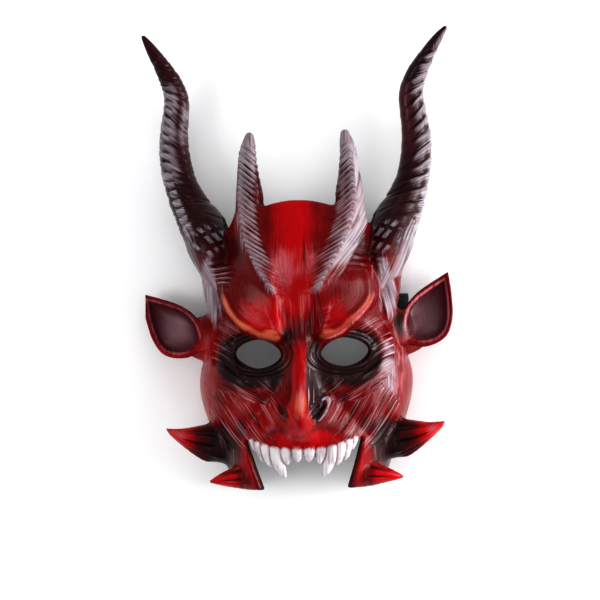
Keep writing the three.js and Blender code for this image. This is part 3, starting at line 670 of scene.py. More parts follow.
# %% Join the fields
def add_form(field, form, radius):
    part = window(*form.box(radius + 4))
    field[part] = flow(field[part], form.drop(*grid_points(part)).outside, radius)


def mask_field():
    everywhere = window((-1000,) * 3, (1000,) * 3)
    x, y, z = grid_points(everywhere)
    field = outer_skin(x, y, z).astype(np.float32)
    field = within(field, y - forehead_edge(x), 2.0)
    field = within(field, JAW_END - y, 2.0)
    for side in SIDES:
        add_form(field, temple_flanks[side], 5.0)
        add_form(field, big_horns[side], 5.0)
        add_form(field, inner_horns[side], 4.0)
        add_form(field, upper_spikes[side], 5.0)
        add_form(field, lower_spikes[side], 4.0)
    field = carve(field, notch_field(x, y, z), 1.5)
    for side in SIDES:
        add_form(field, ear_stalks[side], 4.0)
        low = (55, -100, 0) if side > 0 else (-128, -100, 0)
        part = window(low, (low[0] + 73, 5, 50))
        field[part] = flow(field[part], ear_field(*grid_points(part), side), 3.0)
    hollow = inner_skin(x, y, z).astype(np.float32)
    field = carve(field, np.maximum(hollow, y - forehead_edge(x) - 12), 2.0)
    field = carve(field, mouth_field(x, y, z), 1.5)
    field = carve(field, eye_field(x, y) + 0 * z, 1.5)
    for tooth in teeth:
        add_form(field, tooth, 0.8)
    return within(field, -z, 0.6)


joined = mask_field()
print("foam fills", round(100 * float((joined < 0).mean()), 1), "% of the grid")


# %% Points of the skin
CORNERS = [(i, j, k) for i in (0, 1) for j in (0, 1) for k in (0, 1)]


def crossing_points(field, cells):
    """One point in each cell: the middle of the places where its edges go through the skin."""
    places = (GRID_X, GRID_Y, GRID_Z)
    total = np.zeros((len(cells), 3))
    crossings = np.zeros(len(cells))
    for start in CORNERS:
        for axis in range(3):
            if start[axis]:
                continue
            end = tuple(1 if i == axis else start[i] for i in range(3))
            first = cells + start
            second = cells + end
            value_1 = field[first[:, 0], first[:, 1], first[:, 2]]
            value_2 = field[second[:, 0], second[:, 1], second[:, 2]]
            crossed = (value_1 < 0) != (value_2 < 0)
            part = np.where(crossed, value_1 / np.where(crossed, value_1 - value_2, 1), 0)
            for i in range(3):
                low, high = places[i][first[:, i]], places[i][second[:, i]]
                total[:, i] += np.where(crossed, low + part * (high - low), 0)
            crossings += crossed
    return total / crossings[:, None]


print("a cell of the grid has", len(CORNERS), "corners")


# %% Faces of the skin
def faces_between(inside, number):
    """A four-sided face for every two neighbours on the grid that have the skin between them."""
    faces = []
    for axis in range(3):
        others = [i for i in range(3) if i != axis]
        low = [slice(None)] * 3
        low[axis] = slice(0, -1)
        high = [slice(None)] * 3
        high[axis] = slice(1, None)
        for i in others:
            low[i] = high[i] = slice(1, -1)
        changed = inside[tuple(low)] != inside[tuple(high)]
        edges = np.argwhere(changed)
        leaving = inside[tuple(low)][changed]
        quad = []
        for back_1, back_2 in ((1, 1), (0, 1), (0, 0), (1, 0)):
            cell = edges.copy()
            cell[:, others[0]] += 1 - back_1
            cell[:, others[1]] += 1 - back_2
            quad.append(number[cell[:, 0], cell[:, 1], cell[:, 2]])
        quad = np.column_stack(quad)
        turned = leaving if axis != 1 else ~leaving
        quad[~turned] = quad[~turned][:, ::-1]
        faces.append(quad)
    return np.concatenate(faces)


def skin_of(field):
    """Points and four-sided faces where the field changes sign."""
    inside = field < 0
    shape = [size - 1 for size in field.shape]
    count = np.zeros(shape, np.uint8)
    for i, j, k in CORNERS:
        count += inside[i:i + shape[0], j:j + shape[1], k:k + shape[2]]
    active = (count > 0) & (count < 8)
    cells = np.argwhere(active)
    number = np.full(shape, -1, np.int32)
    number[active] = np.arange(len(cells))
    return crossing_points(field, cells), faces_between(inside, number)


skin_points, skin_faces = skin_of(joined)
print("skin with", len(skin_points), "points and", len(skin_faces), "faces")


# %% [markdown]
# ## A mesh in the frame
# A mesh is made from the points in metres. It sits at the origin and its place is in its points,
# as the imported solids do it.

# %% Make a mesh object
def make_object(name, points, faces):
    mesh = bpy.data.meshes.new(name)
    in_metres = (np.asarray(points) + (0, CENTRE_SHIFT, 0)) * MM
    mesh.from_pydata(in_metres.tolist(), [], faces)
    mesh.update()
    mesh.shade_smooth()
    made = bpy.data.objects.new(name, mesh)
    bpy.context.scene.collection.objects.link(made)
    return made


def points_of(made):
    """The points of a mesh in millimetres, in the frame of the stations."""
    values = np.empty(len(made.data.vertices) * 3, np.float32)
    made.data.vertices.foreach_get("co", values)
    return values.reshape(-1, 3).astype(float) / MM - (0, CENTRE_SHIFT, 0)


def normals_of(made):
    values = np.empty(len(made.data.vertices) * 3, np.float32)
    made.data.vertex_normals.foreach_get("vector", values)
    return values.reshape(-1, 3).astype(float)


devil = make_object("painted_mask", skin_points, skin_faces.tolist())
print("mask mesh", len(devil.data.polygons), "faces")

# %% [markdown]
# ## Random numbers that repeat
# Carved strokes and brushed paint need chance, but the same chance at every run. A small block of
# random numbers, read smoothly and repeated without end, gives it. Stretched in one direction it
# becomes hairs: long thin crests, like the strokes of a modelling tool.

# %% Smooth chance, hairs and stacked plates
LATTICE_SIZE = 32
LATTICE = RANDOM.random((LATTICE_SIZE,) * 3)


def rough(u, v, w=0.0):
    """Smooth random numbers from 0 to 1, with a bump about every unit."""
    places = np.broadcast_arrays(u, v, w)
    lows = [np.floor(place).astype(int) for place in places]
    parts = [ease(0, 1, place - low) for place, low in zip(places, lows)]
    total = 0
    for corner in CORNERS:
        weight = 1
        for part, far_end in zip(parts, corner):
            weight = weight * (part if far_end else 1 - part)
        spot = tuple((low + far_end) % LATTICE_SIZE for low, far_end in zip(lows, corner))
        total = total + weight * LATTICE[spot]
    return total


def hairs(u, v, width, length, seed):
    """Crests that run along v: 1 on a crest and 0 in the furrow between two."""
    value = rough(u / width, v / length, seed)
    return np.clip(1 - 3.2 * np.abs(value - 0.5), 0, 1)


def plates(phase, fall=0.16):
    """Stacked plates: a slow rise and a short fall in every turn of the phase."""
    part = phase - np.floor(phase)
    return np.minimum(part / (1 - fall), (1 - part) / fall)


print("two random numbers:", rough(np.array([0.2, 7.7]), 1.5).round(3))

# %% [markdown]
# ## Where a point is on the mask
# The carving and the paint both need to know where they are: how far up a horn, on which side of
# its spine, how far below the outer skin. All of that is worked out once for a set of points.

# %% Places on the mask
SPINE_STATIONS = [(-46, 11), (-31, 15), (-7, 28.5), (17, 40), (43, 45), (60, 45), (80, 43.3), (102, 42)]


def own_side(forms, points):
    """Drops every point onto the form on its own side of the face."""
    found = {}
    for side, form in forms.items():
        chosen = points[:, 0] * side >= 0
        for key, value in vars(form.drop(*points[chosen].T)).items():
            found.setdefault(key, np.zeros(len(points)))[chosen] = value
        found.setdefault("share", np.zeros(len(points)))[chosen] = found["run"][chosen] / form.length
    found["on"] = fade(0.8, 3.5, found["outside"])
    return Named(**found)


def patch(first, second, middle, half, edge=0.35):
    """A soft oval: 1 inside it and 0 outside."""
    away = np.hypot((first - middle[0]) / half[0], (second - middle[1]) / half[1])
    return fade(1 - edge, 1 + edge, away)


def most(*masks):
    """The strongest of several masks at every point."""
    return np.maximum.reduce(masks)


print("a soft oval is", float(patch(0.0, 0.0, (0, 0), (1, 1))), "inside and",
      float(patch(2.0, 0.0, (0, 0), (1, 1))), "outside")


# %% All about a set of points
class Places:
    """What the carving and the paint need to know about a set of points."""

    def __init__(self, points):
        self.x, self.y, self.z = points.T
        self.left, self.right = self.x < 0, self.x >= 0
        self.far = np.abs(skewed(self.x, self.y))
        self.big = own_side(big_horns, points)
        self.inner = own_side(inner_horns, points)
        self.upper = own_side(upper_spikes, points)
        self.lower = own_side(lower_spikes, points)
        self.skin = outer_skin(self.x, self.y, self.z)
        self.on_face = fade(1.5, 3.5, np.abs(self.skin)) * ease(2, 14, self.z)
        self.from_spine = along(SPINE_STATIONS, 1, self.y) - self.far
        self.eye_angle = np.arctan2(self.y - EYE.y, self.far - EYE.x)
        self.eye_radius = np.hypot(self.y - EYE.y, self.far - EYE.x)
        self.brow = brow_edge(self.far, lifted(self.x, self.y))
        left_ear, right_ear = [ear_place(self.x, self.y, side) for side in SIDES]
        self.ear_way = self.pick(left_ear[0], right_ear[0])
        self.ear_share = self.pick(left_ear[1], right_ear[1])
        self.on_ear = fade(1.0, 1.1, self.ear_share) * ease(-2, 6, self.ear_way) * ease(2, 5, self.skin)

    def pick(self, left, right):
        """One value on the left side of the face and another on the right."""
        return np.where(self.left, left, right)

    def spot(self, middle, half, edge=0.35):
        """A soft oval at one place on the face."""
        return patch(self.x, self.y, middle, half, edge)

    def spots(self, middle, half, edge=0.35):
        """A soft oval at the same place on both sides of the face."""
        return patch(self.far, self.y, middle, half, edge)


places = Places(points_of(devil))
print("points on the big horns:", int((places.big.on > 0.5).sum()))

# %% [markdown]
# ## The carving
# The real mask was modelled in clay with a loop tool before it was cast, and the strokes show:
# stacked plates on the big horns, slanting furrows on the inner ones, hair-like lines on the
# cheeks. Every carving below gives three things: how strongly it holds at a point, its height in
# millimetres, and the direction in which its strokes run. The paint brush will follow that too.

# %% Sizes of the carving
PLATE_SPACING = (7.6, 11.2)
PLATE_SLANT = 0.85
PLATE_DEPTH = (1.6, 1.7)
HORN_HAIR = Named(spacing=2.1, length=22, depth=0.8)
FURROW = Named(spacing=4.6, slant=0.85, depth=1.3, spine=0.45, spine_width=3.4)
CHEEK_STROKE = Named(x=0.66, y=0.75, depth=0.9)
EYE_STROKE = Named(x=0.87, y=0.5)
FLUTE = Named(count=7, depth=0.16)
SCALE = Named(wide=6.2, long=10.5)
NOSE_BALL = Named(x=-3, y=-127, radius=14.5)
NOSTRIL_HOLE = Named(x=14.2, y=-121, turn=math.radians(54), half_length=8, half_width=3.4, depth=3.2)
print("furrows every", FURROW.spacing, "mm on the inner horns")


# %% Carving of the horns
def carve_big_horns(at):
    """Stacked plates along the outer edge and fine lines that slant across the horn."""
    out, run = at.big.out, at.big.run
    sideways = PLATE_SLANT * out * at.big.half_width
    spacing = at.pick(*PLATE_SPACING)
    wander = 0.5 * rough(run / 14, out * 1.2, 3.5)
    row = ease(0.1, 0.4, out) * (1 - 0.95 * ease(0.68, 0.84, out))
    outer = at.pick(row, ease(-0.8, 0.2, out) * (1 - 0.6 * ease(0.85, 0.96, out)))
    depth = at.pick(*PLATE_DEPTH) * (0.1 + 0.9 * outer)
    stacked = plates((run - sideways * at.pick(0.4, 1)) / spacing + wander)
    ends = band(0.17, 0.3, 0.86, 0.96, at.big.share)
    smooth = at.pick(0, 0.7) * ease(0.35, 0.5, at.big.share)
    slanted, across = run - sideways, out * at.big.half_width
    lines = hairs(slanted, across, HORN_HAIR.spacing, HORN_HAIR.length, 11.5) - 0.4
    height = depth * (stacked - 0.5) + HORN_HAIR.depth * (1 - smooth) * (1 - 0.85 * outer) * lines
    return at.big.on * ends, height, slanted, across


def carve_inner_horns(at):
    """Furrows that slant down from the spine, on the horns and on down the forehead."""
    away = np.abs(at.from_spine)
    lean = at.y + FURROW.slant * away
    outside = at.pick(ease(0.5, 2.5, -at.from_spine), ease(1, 3.5, -at.from_spine))
    reach = fade(12, 19, at.from_spine) * (1 - outside) * fade(12, 16, -at.from_spine)
    spine = FURROW.spine * bell(at.from_spine, FURROW.spine_width)
    depth = FURROW.depth * (0.6 + 0.4 * ease(1, 5, away)) * (1 - 0.4 * ease(20, -20, at.y))
    depth = depth * at.pick(1, 1 - 0.7 * ease(3, 9, at.from_spine))
    height = spine + depth * (plates(lean / FURROW.spacing + 0.4 * rough(at.y / 9, away / 6, 1.5)) - 0.5)
    ends = band(-34, -22, 84, 94, at.y)
    on = np.maximum(at.inner.on, at.on_face) * (1 - at.big.on) * ease(55, 62, at.z)
    return on * ends * reach, height, lean, away


def carve_inner_flanks(at):
    """Streaks that run down the outer side of the right inner horn."""
    on = np.maximum(at.inner.on, at.on_face) * (1 - at.big.on)
    on = on * ease(-22, -12, at.y) * fade(76, 90, at.y)
    on = on * at.right * ease(1, 3.5, -at.from_spine) * fade(13, 17, -at.from_spine) * ease(45, 55, at.z)
    strokes = hairs(at.from_spine + 0.25 * at.y, at.y, 2.5, 14, 12.5)
    return on, 0.9 * (strokes - 0.45), at.from_spine + 0.25 * at.y, at.y


print("plates every", PLATE_SPACING[0], "mm on the left big horn and", PLATE_SPACING[1], "on the right")


# %% Flutes, grooves and scales
def carve_spikes(at):
    total, height, along_it, round_it = 0, 0, 0, 0
    for spike in (at.upper, at.lower):
        turn = np.arctan2(spike.up, spike.out)
        flutes = np.cos(FLUTE.count * turn) + 0.4 * np.cos(17 * turn)
        on = spike.on * ease(0.12, 0.35, spike.share)
        height = height + on * FLUTE.depth * spike.half_width * flutes * (1 - spike.share)
        total = total + on
        along_it = along_it + on * spike.run
        round_it = round_it + on * turn * spike.half_width
    return np.clip(total, 0, 1), height, round_it, along_it


def carve_flanks(at):
    """Lengthwise grooves on the outer side of a big horn's foot."""
    across = at.big.out * at.big.half_width
    on = at.big.on * fade(0.2, 0.38, at.big.share) * ease(0.2, 0.6, at.big.out)
    return on, 1.0 * (hairs(across, at.big.run, 2.6, 34, 10.5) - 0.45), across, at.big.run


def scale_rows(at):
    """Three rows of small scales near the foot of a big horn: 1 on a scale."""
    row = at.big.run / SCALE.long
    column = at.big.out * at.big.half_width / SCALE.wide + 0.5 * np.floor(row) + 0.2
    column = column - 0.7 * (row - np.floor(row))
    across, along_it = np.abs(column - np.floor(column) - 0.5), np.abs(row - np.floor(row) - 0.5)
    inside = fade(0.24, 0.42, across) * fade(0.3, 0.44, along_it)
    chance = ease(0.2, 0.65, rough(3.7 * np.floor(column), 5.3 * np.floor(row), 13.5))
    return inside * (0.25 + 0.75 * chance) * at.spots((70, 16), (15, 15), 0.3) * at.big.on


def carve_scales(at):
    on = 0.6 * at.spots((70, 18), (15, 15), 0.4) * at.big.on
    return on, 0.6 * (scale_rows(at) - 0.3), at.big.out * at.big.half_width, at.big.run


print("three rows of scales,", SCALE.long, "mm apart")


# %% [markdown]
# ## The carving of the face
# Nostrils and folds are single forms at named places. The strokes round the eyes, on the cheeks and
# on the brows are fields of hairs, each with its own direction, so the skin seems drawn over muscle.

# %% Nostrils and folds
def carve_nostrils(at):
    """A hole in each wing of the nose and the thin edge that curls round it."""
    away_x, away_y = at.far - NOSTRIL_HOLE.x, at.y - NOSTRIL_HOLE.y
    turn = NOSTRIL_HOLE.turn
    lengthwise = away_x * math.cos(turn) + away_y * math.sin(turn)
    across = away_y * math.cos(turn) - away_x * math.sin(turn)
    hole = np.hypot(lengthwise / NOSTRIL_HOLE.half_length, across / NOSTRIL_HOLE.half_width)
    edge = bell(hole - 1.45, 0.28) * ease(-2, 3, lengthwise - 2 * across)
    height = 1.6 * edge - NOSTRIL_HOLE.depth * fade(0.4, 1.1, hole)
    height = height * at.pick(0.3, 1)
    return at.on_face * fade(1.8, 2.3, hole), height, across, lengthwise


def carve_horn_feet(at):
    """Level folds where the brow pushes up against the foot of a big horn."""
    on = at.pick(at.spots((60, -11), (14, 10)), 0.6 * at.spots((50, -1), (20, 9)))
    level = at.y + 0.14 * at.far + 4 * rough(at.far / 15, at.y / 9, 2.5)
    height = 0.9 * (np.cos(2 * np.pi * level / 4.6) + 0.2)
    return on * ease(50, 60, at.z), height, level, at.far


def carve_temples(at):
    """Upright folds between the brow and the ear."""
    bent = at.far + 3.5 * np.sin((at.y + 20) / 20) + 1.5 * rough(at.y / 25, at.far / 8, 4.5)
    on = at.spots((69, -24), (9, 28)) * ease(2, 8, at.brow) * ease(14, 24, at.z)
    return on, 1.6 * (hairs(bent, at.y, 3.2, 40, 14.5) - 0.5), bent, at.y


print("nostrils", 2 * NOSTRIL_HOLE.half_length, "mm long and", NOSTRIL_HOLE.depth, "mm deep")


# %% Strokes round the eyes and on the cheeks
def carve_crows_feet(at):
    """Strokes that sweep down towards the eye round its outer half."""
    outer = band(-2.4, -1.9, 0.95, 1.25, at.eye_angle)
    ring = band(19, 24, 34, 44, at.eye_radius)
    across = EYE_STROKE.y * at.far - EYE_STROKE.x * at.y + 5 * rough(at.far / 16, at.y / 16, 9.5)
    along_it = EYE_STROKE.x * at.far + EYE_STROKE.y * at.y
    strokes = hairs(across, along_it, 2.5, 16, 9.5)
    return at.on_face * outer * ring * ease(1, 5, at.brow), 1.2 * (strokes - 0.5), across, along_it


def carve_lids(at):
    """Two creases along the lids."""
    away = from_eye(at.far, at.y)
    on = band(1.05, 1.2, 1.6, 1.9, away) * ease(1, 5, at.brow)
    height = 0.7 * np.cos(2 * np.pi * (away - 1.12) / 0.27)
    return at.on_face * on, height, away * 13, at.eye_angle * 20


def carve_cheeks(at):
    """Long strokes from the cheekbone down to the corner of the mouth."""
    bend = 3.5 * np.sin((at.y + 120) / 16)
    across = CHEEK_STROKE.y * at.far - CHEEK_STROKE.x * at.y + bend
    along_it = CHEEK_STROKE.x * at.far + CHEEK_STROKE.y * at.y
    on = at.spots((46, -124), (30, 27), 0.35) * ease(14, 20, at.far)
    strokes = hairs(across, along_it, 2.4, 34, 6.5)
    return at.on_face * on, CHEEK_STROKE.depth * (strokes - 0.5), across, along_it


print("strokes on the cheeks are", CHEEK_STROKE.depth, "mm deep")


# %% Brows, forehead and lip
def carve_brows(at):
    """Tool marks along the lower edge of the brows, and the fold at their inner end."""
    turn = np.arctan2(at.y - BROW.y, at.far - BROW.x) * BROW.radius
    on = fade(-3, 0, at.brow) * ease(-25, -14, at.brow) * fade(-16, -6, at.y) * ease(14, 22, at.far)
    strokes = hairs(at.brow + 0.12 * turn, turn, 2.6, 30, 7.5)
    return at.on_face * on, at.pick(0.3, 0.1) * (strokes - 0.5), at.brow, turn


def carve_middle(at):
    """Upright creases on the forehead, between the brows and down the nose."""
    on = fade(14, 22, at.far)
    depth = 0.25 + 0.3 * bell(at.y + 42, 14)
    groove = -0.4 * bell(at.x - 5 - 0.03 * at.y, 1.3) * ease(-40, -24, at.y) * fade(10, 40, at.y)
    strokes = hairs(at.x + 0.1 * at.y, at.y, 3.1, 40, 8.5)
    fold = at.pick(0.0, -1.2) * bell(from_line(at.far, at.y, (31, -20), (18, -50)), 1.8)
    return at.on_face * on, depth * (strokes - 0.5) + groove + fold, at.x, at.y


def carve_lip(at):
    """A crease round the tip of the nose and upright folds on the upper lip."""
    away = np.hypot(at.x - NOSE_BALL.x, at.y - NOSE_BALL.y)
    below = ease(0.15, 0.6, (NOSE_BALL.y - at.y) / np.maximum(away, 1))
    crease = -0.3 * bell(away - NOSE_BALL.radius, 2.2) * below
    folds = 0.6 * (hairs(at.x, at.y, 3.4, 30, 15.5) - 0.5) * ease(1, 5, away - NOSE_BALL.radius)
    on = ease(-124, -133, at.y) * fade(30, 38, at.far) * at.on_face
    return on, crease + folds, at.x, at.y


print("the ball of the nose is", 2 * NOSE_BALL.radius, "mm wide")


# %% All carving together
CARVINGS = (
    carve_middle, carve_lip, carve_brows, carve_cheeks, carve_lids, carve_crows_feet, carve_temples,
    carve_nostrils, carve_horn_feet, carve_inner_horns, carve_inner_flanks, carve_big_horns, carve_scales,
    carve_flanks, carve_spikes,
)
LUMPS = Named(height=0.35, every=9)


def carving(at):
    """Height of the carving, its crests and furrows from -1 to 1, and the way the strokes run."""
    height = np.zeros(len(at.x))
    brush_across, brush_along = at.x.copy(), at.y.copy()
    for kind in CARVINGS:
        on, tall, across, along_it = kind(at)
        height = height * (1 - on) + tall * on
        leads = on > 0.45
        brush_across = np.where(leads, across, brush_across)
        brush_along = np.where(leads, along_it, brush_along)
    lumps = rough(at.x / LUMPS.every, at.y / LUMPS.every, at.z / LUMPS.every) - 0.5
    return height + LUMPS.height * lumps, np.clip(height / 0.8, -1, 1), brush_across, brush_along


def push_out(made, heights):
    points = points_of(made) + normals_of(made) * heights[:, None]
    points[:, 2] = np.maximum(points[:, 2], 0)
    flat = ((points + (0, CENTRE_SHIFT, 0)) * MM).astype(np.float32).ravel()
    made.data.vertices.foreach_set("co", flat)
    made.data.update()


heights = carving(places)[0]
push_out(devil, heights * ease(-0.5, 0.8, places.z))
print("carving from", heights.min().round(2), "to", heights.max().round(2), "mm")

# %% [markdown]
# ## Thin the mesh
# The net is even, but the plain inside of the mask needs few faces. Decimate removes points where
# the skin is flat and keeps them where it bends, until the mesh has no more than the set number of
# triangles.

# %% Decimate
MOST_TRIANGLES = 195000


def thin_out(made, most):
    triangles = sum(len(face.vertices) - 2 for face in made.data.polygons)
    if triangles <= most:
        return
    modifier = made.modifiers.new("thin", "DECIMATE")
    modifier.ratio = most / triangles
    bpy.context.view_layer.objects.active = made
    bpy.ops.object.modifier_apply(modifier=modifier.name)


thin_out(devil, MOST_TRIANGLES)
print("thinned to", len(devil.data.polygons), "faces")

# %% [markdown]
# ## The strap
# The strap is a ribbed elastic webbing. Its ends are glued inside the temples, it bows out through
# the notch on the right and lies slack on the ground behind the face. It is a band swept along
# that route, with a lengthwise rib every 1.7 millimetres and rounded edges.

# %% The strap's route
STRAP = Named(width=20, thickness=1.5, y=-40.5, gap=1.2, lift=0.7, bow=84, hump=5)
STRAP_GLUED_HEIGHTS = (46, 38, 30, 24)
STRAP_ON_FOAM = (14, 26)
STRAP_STEPS = 400
STRAP_RIB = Named(spacing=1.7, share=0.3)
STRAP_SECTION = np.linspace(-1, 1, 61)
WIDEST_HOLLOW = 100.0


def hollow_reach(y, z):
    """How far the inner skin is from the middle, at a height over the ground."""
    low, high = np.zeros(np.shape(z)), np.full(np.shape(z), WIDEST_HOLLOW)
    for _ in range(HALVINGS):
        middle = (low + high) / 2
        inside = inner_skin(middle, y, z) < 0
        low, high = np.where(inside, middle, low), np.where(inside, high, middle)
    return low


def strap_route():
    """Points of the strap's middle line in the upright plane, and its length."""
    glued = np.array(STRAP_GLUED_HEIGHTS, float)
    on_skin = hollow_reach(STRAP.y, glued) - STRAP.gap - STRAP.thickness / 2
    ground = STRAP.thickness / 2 + STRAP.lift
    bow = STRAP.bow
    free = [
        (on_skin[-1] + 2.5, 17), (bow - 6, 13), (bow, 6), (bow - 7, ground + 0.8), (62, ground),
        (34, ground), (8, ground + STRAP.hump), (-12, ground + STRAP.hump), (-38, ground),
        (-54, ground), (-62, 5), (-66, 14),
    ]
    left = list(zip(-on_skin[::-1], glued[::-1]))
    places = np.array(list(zip(on_skin, glued)) + free + left)
    numbered = np.column_stack([np.arange(len(places)), places])
    fine = np.linspace(0, len(places) - 1, 4000)
    line = np.column_stack([along(numbered, column, fine) for column in (1, 2)])
    run = np.concatenate([[0], np.cumsum(np.linalg.norm(np.diff(line, axis=0), axis=1))])
    even = np.linspace(0, run[-1], STRAP_STEPS + 1)
    return np.column_stack([np.interp(even, run, line[:, i]) for i in (0, 1)]), run[-1]


print("strap route", round(strap_route()[1]), "mm long")


# %% The strap's band
def strap_mesh():
    route, length = strap_route()
    heading = np.gradient(route, axis=0)
    heading /= np.linalg.norm(heading, axis=1)[:, None]
    x, z = route[:, :1], route[:, 1:]
    y = STRAP.y + STRAP_SECTION[None, :] * STRAP.width / 2
    on_foam = ease(*STRAP_ON_FOAM, z) * np.sign(x)
    wide_z = z + 0 * y
    lean = on_foam * (hollow_reach(y + 0 * z, wide_z) - hollow_reach(STRAP.y + 0 * y, wide_z))
    rib = np.abs(np.sin(np.pi * (y - STRAP.y) / STRAP_RIB.spacing))
    edge = np.sqrt(1 - STRAP_SECTION[None, :] ** 12)
    half = STRAP.thickness / 2 * edge * (1 - STRAP_RIB.share * (1 - rib))
    rings = []
    for sign in (1, -1):
        out_x, out_z = sign * half * heading[:, 1:], -sign * half * heading[:, :1]
        rings.append(np.stack([x + lean + out_x, y + 0 * z, wide_z + out_z], axis=2))
    section = len(STRAP_SECTION)
    ring = np.concatenate([rings[0], rings[1][:, -2:0:-1]], axis=1)
    points = ring.reshape(-1, 3)
    size = ring.shape[1]
    faces = []
    for i in range(len(ring) - 1):
        for j in range(size):
            k = (j + 1) % size
            faces.append((i * size + j, i * size + k, (i + 1) * size + k, (i + 1) * size + j))
    for start, turned in ((0, False), ((len(ring) - 1) * size, True)):
        for j in range(section - 1):
            face = [j + 1, j, (size - j) % size, (size - j - 1) % size]
            face = list(dict.fromkeys(start + corner for corner in face))
            faces.append(face[::-1] if turned else face)
    return points, faces, length


strap_points, strap_faces, strap_length = strap_mesh()
strap = make_object("webbing_strap", strap_points, strap_faces)
print("strap", round(strap_length), "mm long,", len(strap.data.polygons), "faces")

# %% [markdown]
# ## Where the paint goes
# The casting is dipped in red and then painted by hand: black round the eyes, orange on the edges
# of the brows, silvery paint dragged over the horns with a nearly dry brush. Each paint is a mask, a
# number at every point of the mesh. A few masks paint light and shade instead: highlights and sheen
# where the gloss would catch the lamps, and shade in a crevice, beside an inner horn and in the gaps
# between the teeth. The numbers come from the same places as the carving, so the paint lies where
# the forms are, and the material only has to mix it.

# %% Put the masks on the mesh
def write_numbers(made, name, values):
    layer = made.data.attributes.new(name, "FLOAT", "POINT")
    layer.data.foreach_set("value", np.asarray(values, np.float32))


def write_vectors(made, name, values):
    layer = made.data.attributes.new(name, "FLOAT_VECTOR", "POINT")
    layer.data.foreach_set("vector", np.asarray(values, np.float32).ravel())


def put_on(mask):
    """Writes a mask on the mesh under its own name."""
    values = np.clip(mask(places), 0, 1)
    write_numbers(devil, mask.__name__, values)
    print(mask.__name__, "covers", round(float(values.mean()) * 100), "%")


places = Places(points_of(devil))
heights, crests, brush_across, brush_along = carving(places)
write_numbers(devil, "crest", crests)
write_vectors(devil, "brush", np.column_stack([brush_across, brush_along, 0 * brush_along]))
print(round(float((crests > 0.5).mean()) * 100), "% of the points are on a crest")


# %% The red and the black of the face
def bright_red(at):
    """Where the red is bright, not dark."""
    middle = bell(at.x + 2, 22) * ease(-62, -34, at.y)
    forehead = middle * (1 - 0.4 * bell(at.x + 25, 6)) * (1 - 0.4 * bell(at.x - 16, 6))
    brow = at.pick(0.95, 0.45) * at.spots((27, -46), (20, 16), 0.8)
    spread = 6 + 7 * ease(-104, -126, at.y)
    nose = 0.62 * fade(0.6, 1.3, np.abs(at.x + 1) / spread) * ease(-50, -66, at.y) * ease(-145, -137, at.y)
    lip = 0.8 * at.spot((0, -144), (30, 9), 0.5)
    cheek = at.pick(0.5, 0.2) * at.spots((40, -124), (32, 26), 0.7)
    jaw = 0.5 * at.spots((48, -164), (10, 26), 0.6)
    side = at.pick(0.5, 0.3) * ease(58, 70, at.far) * patch(at.y, at.z, (-100, 25), (50, 40), 0.5)
    tips = np.maximum(
        at.upper.on * ease(0.42, 0.75, at.upper.share), at.lower.on * ease(0.2, 0.5, at.lower.share))
    return most(forehead, brow, nose, lip, cheek, jaw, side, tips)


def soot_and_shade(at):
    """Black round the eyes, at the root of the nose, round the feet of the spikes and on the big horns, with
    painted shade in two places.
    """
    below_brow = ease(1, 5, at.brow)
    reach = at.pick(32, 27)
    eye = ease(0, 0.4, 1 - np.hypot((at.far - 42) / reach, (at.y + 80) / 28)) * below_brow
    corner = at.spots((22, -84), (8, 18), 0.5) * below_brow
    flank = at.pick(0.3, 1.0) * at.spot((12, -98), (7, 30), 0.4)
    nostrils = at.pick(0.4, 1) * ease(0.6, 1.6, -carve_nostrils(at)[1])
    frown = 0.6 * at.spot((-4, -63), (11, 8), 0.9)
    jaw = 0.75 * at.spots((66, -150), (15, 20), 0.6)
    mouth = 0.5 * at.spots((51, -134), (7, 10), 0.8)
    # A painted shadow along the outer side of the left inner horn.
    shade = 0.8 * at.inner.on * at.left * ease(-2, -5, at.from_spine)
    out, share = at.big.out, at.big.share
    tip = 0.8 * at.right * ease(0.74, 0.82, share) * ease(0.35, -0.1, out)
    edge = 0.8 * at.left * ease(0.72, 0.88, out) * ease(0.3, 0.45, share)
    horn = at.big.on * np.maximum(tip, edge)
    # Painted shade in the crevice between the right temple and the ear.
    crevice_shade = 0.9 * at.right * at.spot((79, -54), (5, 9), 0.7)
    return most(eye, corner, flank, nostrils, frown, jaw, mouth, shade, horn, crevice_shade)


for mask in (bright_red, soot_and_shade):
    put_on(mask)


# %% Orange, painted highlights, pale strokes and a painted sheen
def ember(at):
    """Orange on the lower edge of the brows and on the tip of the nose."""
    low = fade(-34, -20, at.y)
    rim = at.pick(0.85, 0.5) * bell(at.brow + 2.2, 3.2) * low * ease(12, 18, at.far)
    corner = at.pick(0.85, 0.6) * at.spots((23, -59), (6, 3.4), 0.7)
    nose = 0.75 * at.spot((0, -115), (5, 11), 0.8)
    return at.on_face * most(rim, corner, nose)


def pink_highlight(at):
    """Painted highlights and sheen in a pale pinkish colour over the red, where the gloss would catch the
    lamps.
    """
    forehead = 0.7 * at.spot((-12, -8), (11, 19), 0.8) + 0.6 * at.spot((10, -2), (8, 16), 0.8)
    fold = 0.55 * bell(from_line(at.far, at.y, (27, -36), (20, -56)), 1.6)
    nose = 0.25 * at.spots((28, -107), (6, 14), 0.7)
    tip = 0.8 * at.spot((1, -111), (2.5, 12), 0.8)
    rim = at.pick(0.45, 0.8) * bell(at.brow + 0.4, 1.0) * ease(-22, -32, at.y) * ease(16, 24, at.far)
    spikes = 0.45 * at.upper.on * ease(0.5, 0.8, at.upper.share)
    lip = 0.5 * at.spot((-12, -140), (5, 4), 0.9)
    cheek = at.pick(0.2, 0.45) * at.spots((75, -93), (7, 27), 0.8)
    ears = at.pick(0.75, 0.9) * bell(at.ear_share - 0.83, 0.06) * at.on_ear
    face = at.on_face * most(forehead, fold, rim, nose, tip, lip, cheek)
    return most(face, spikes, ears)


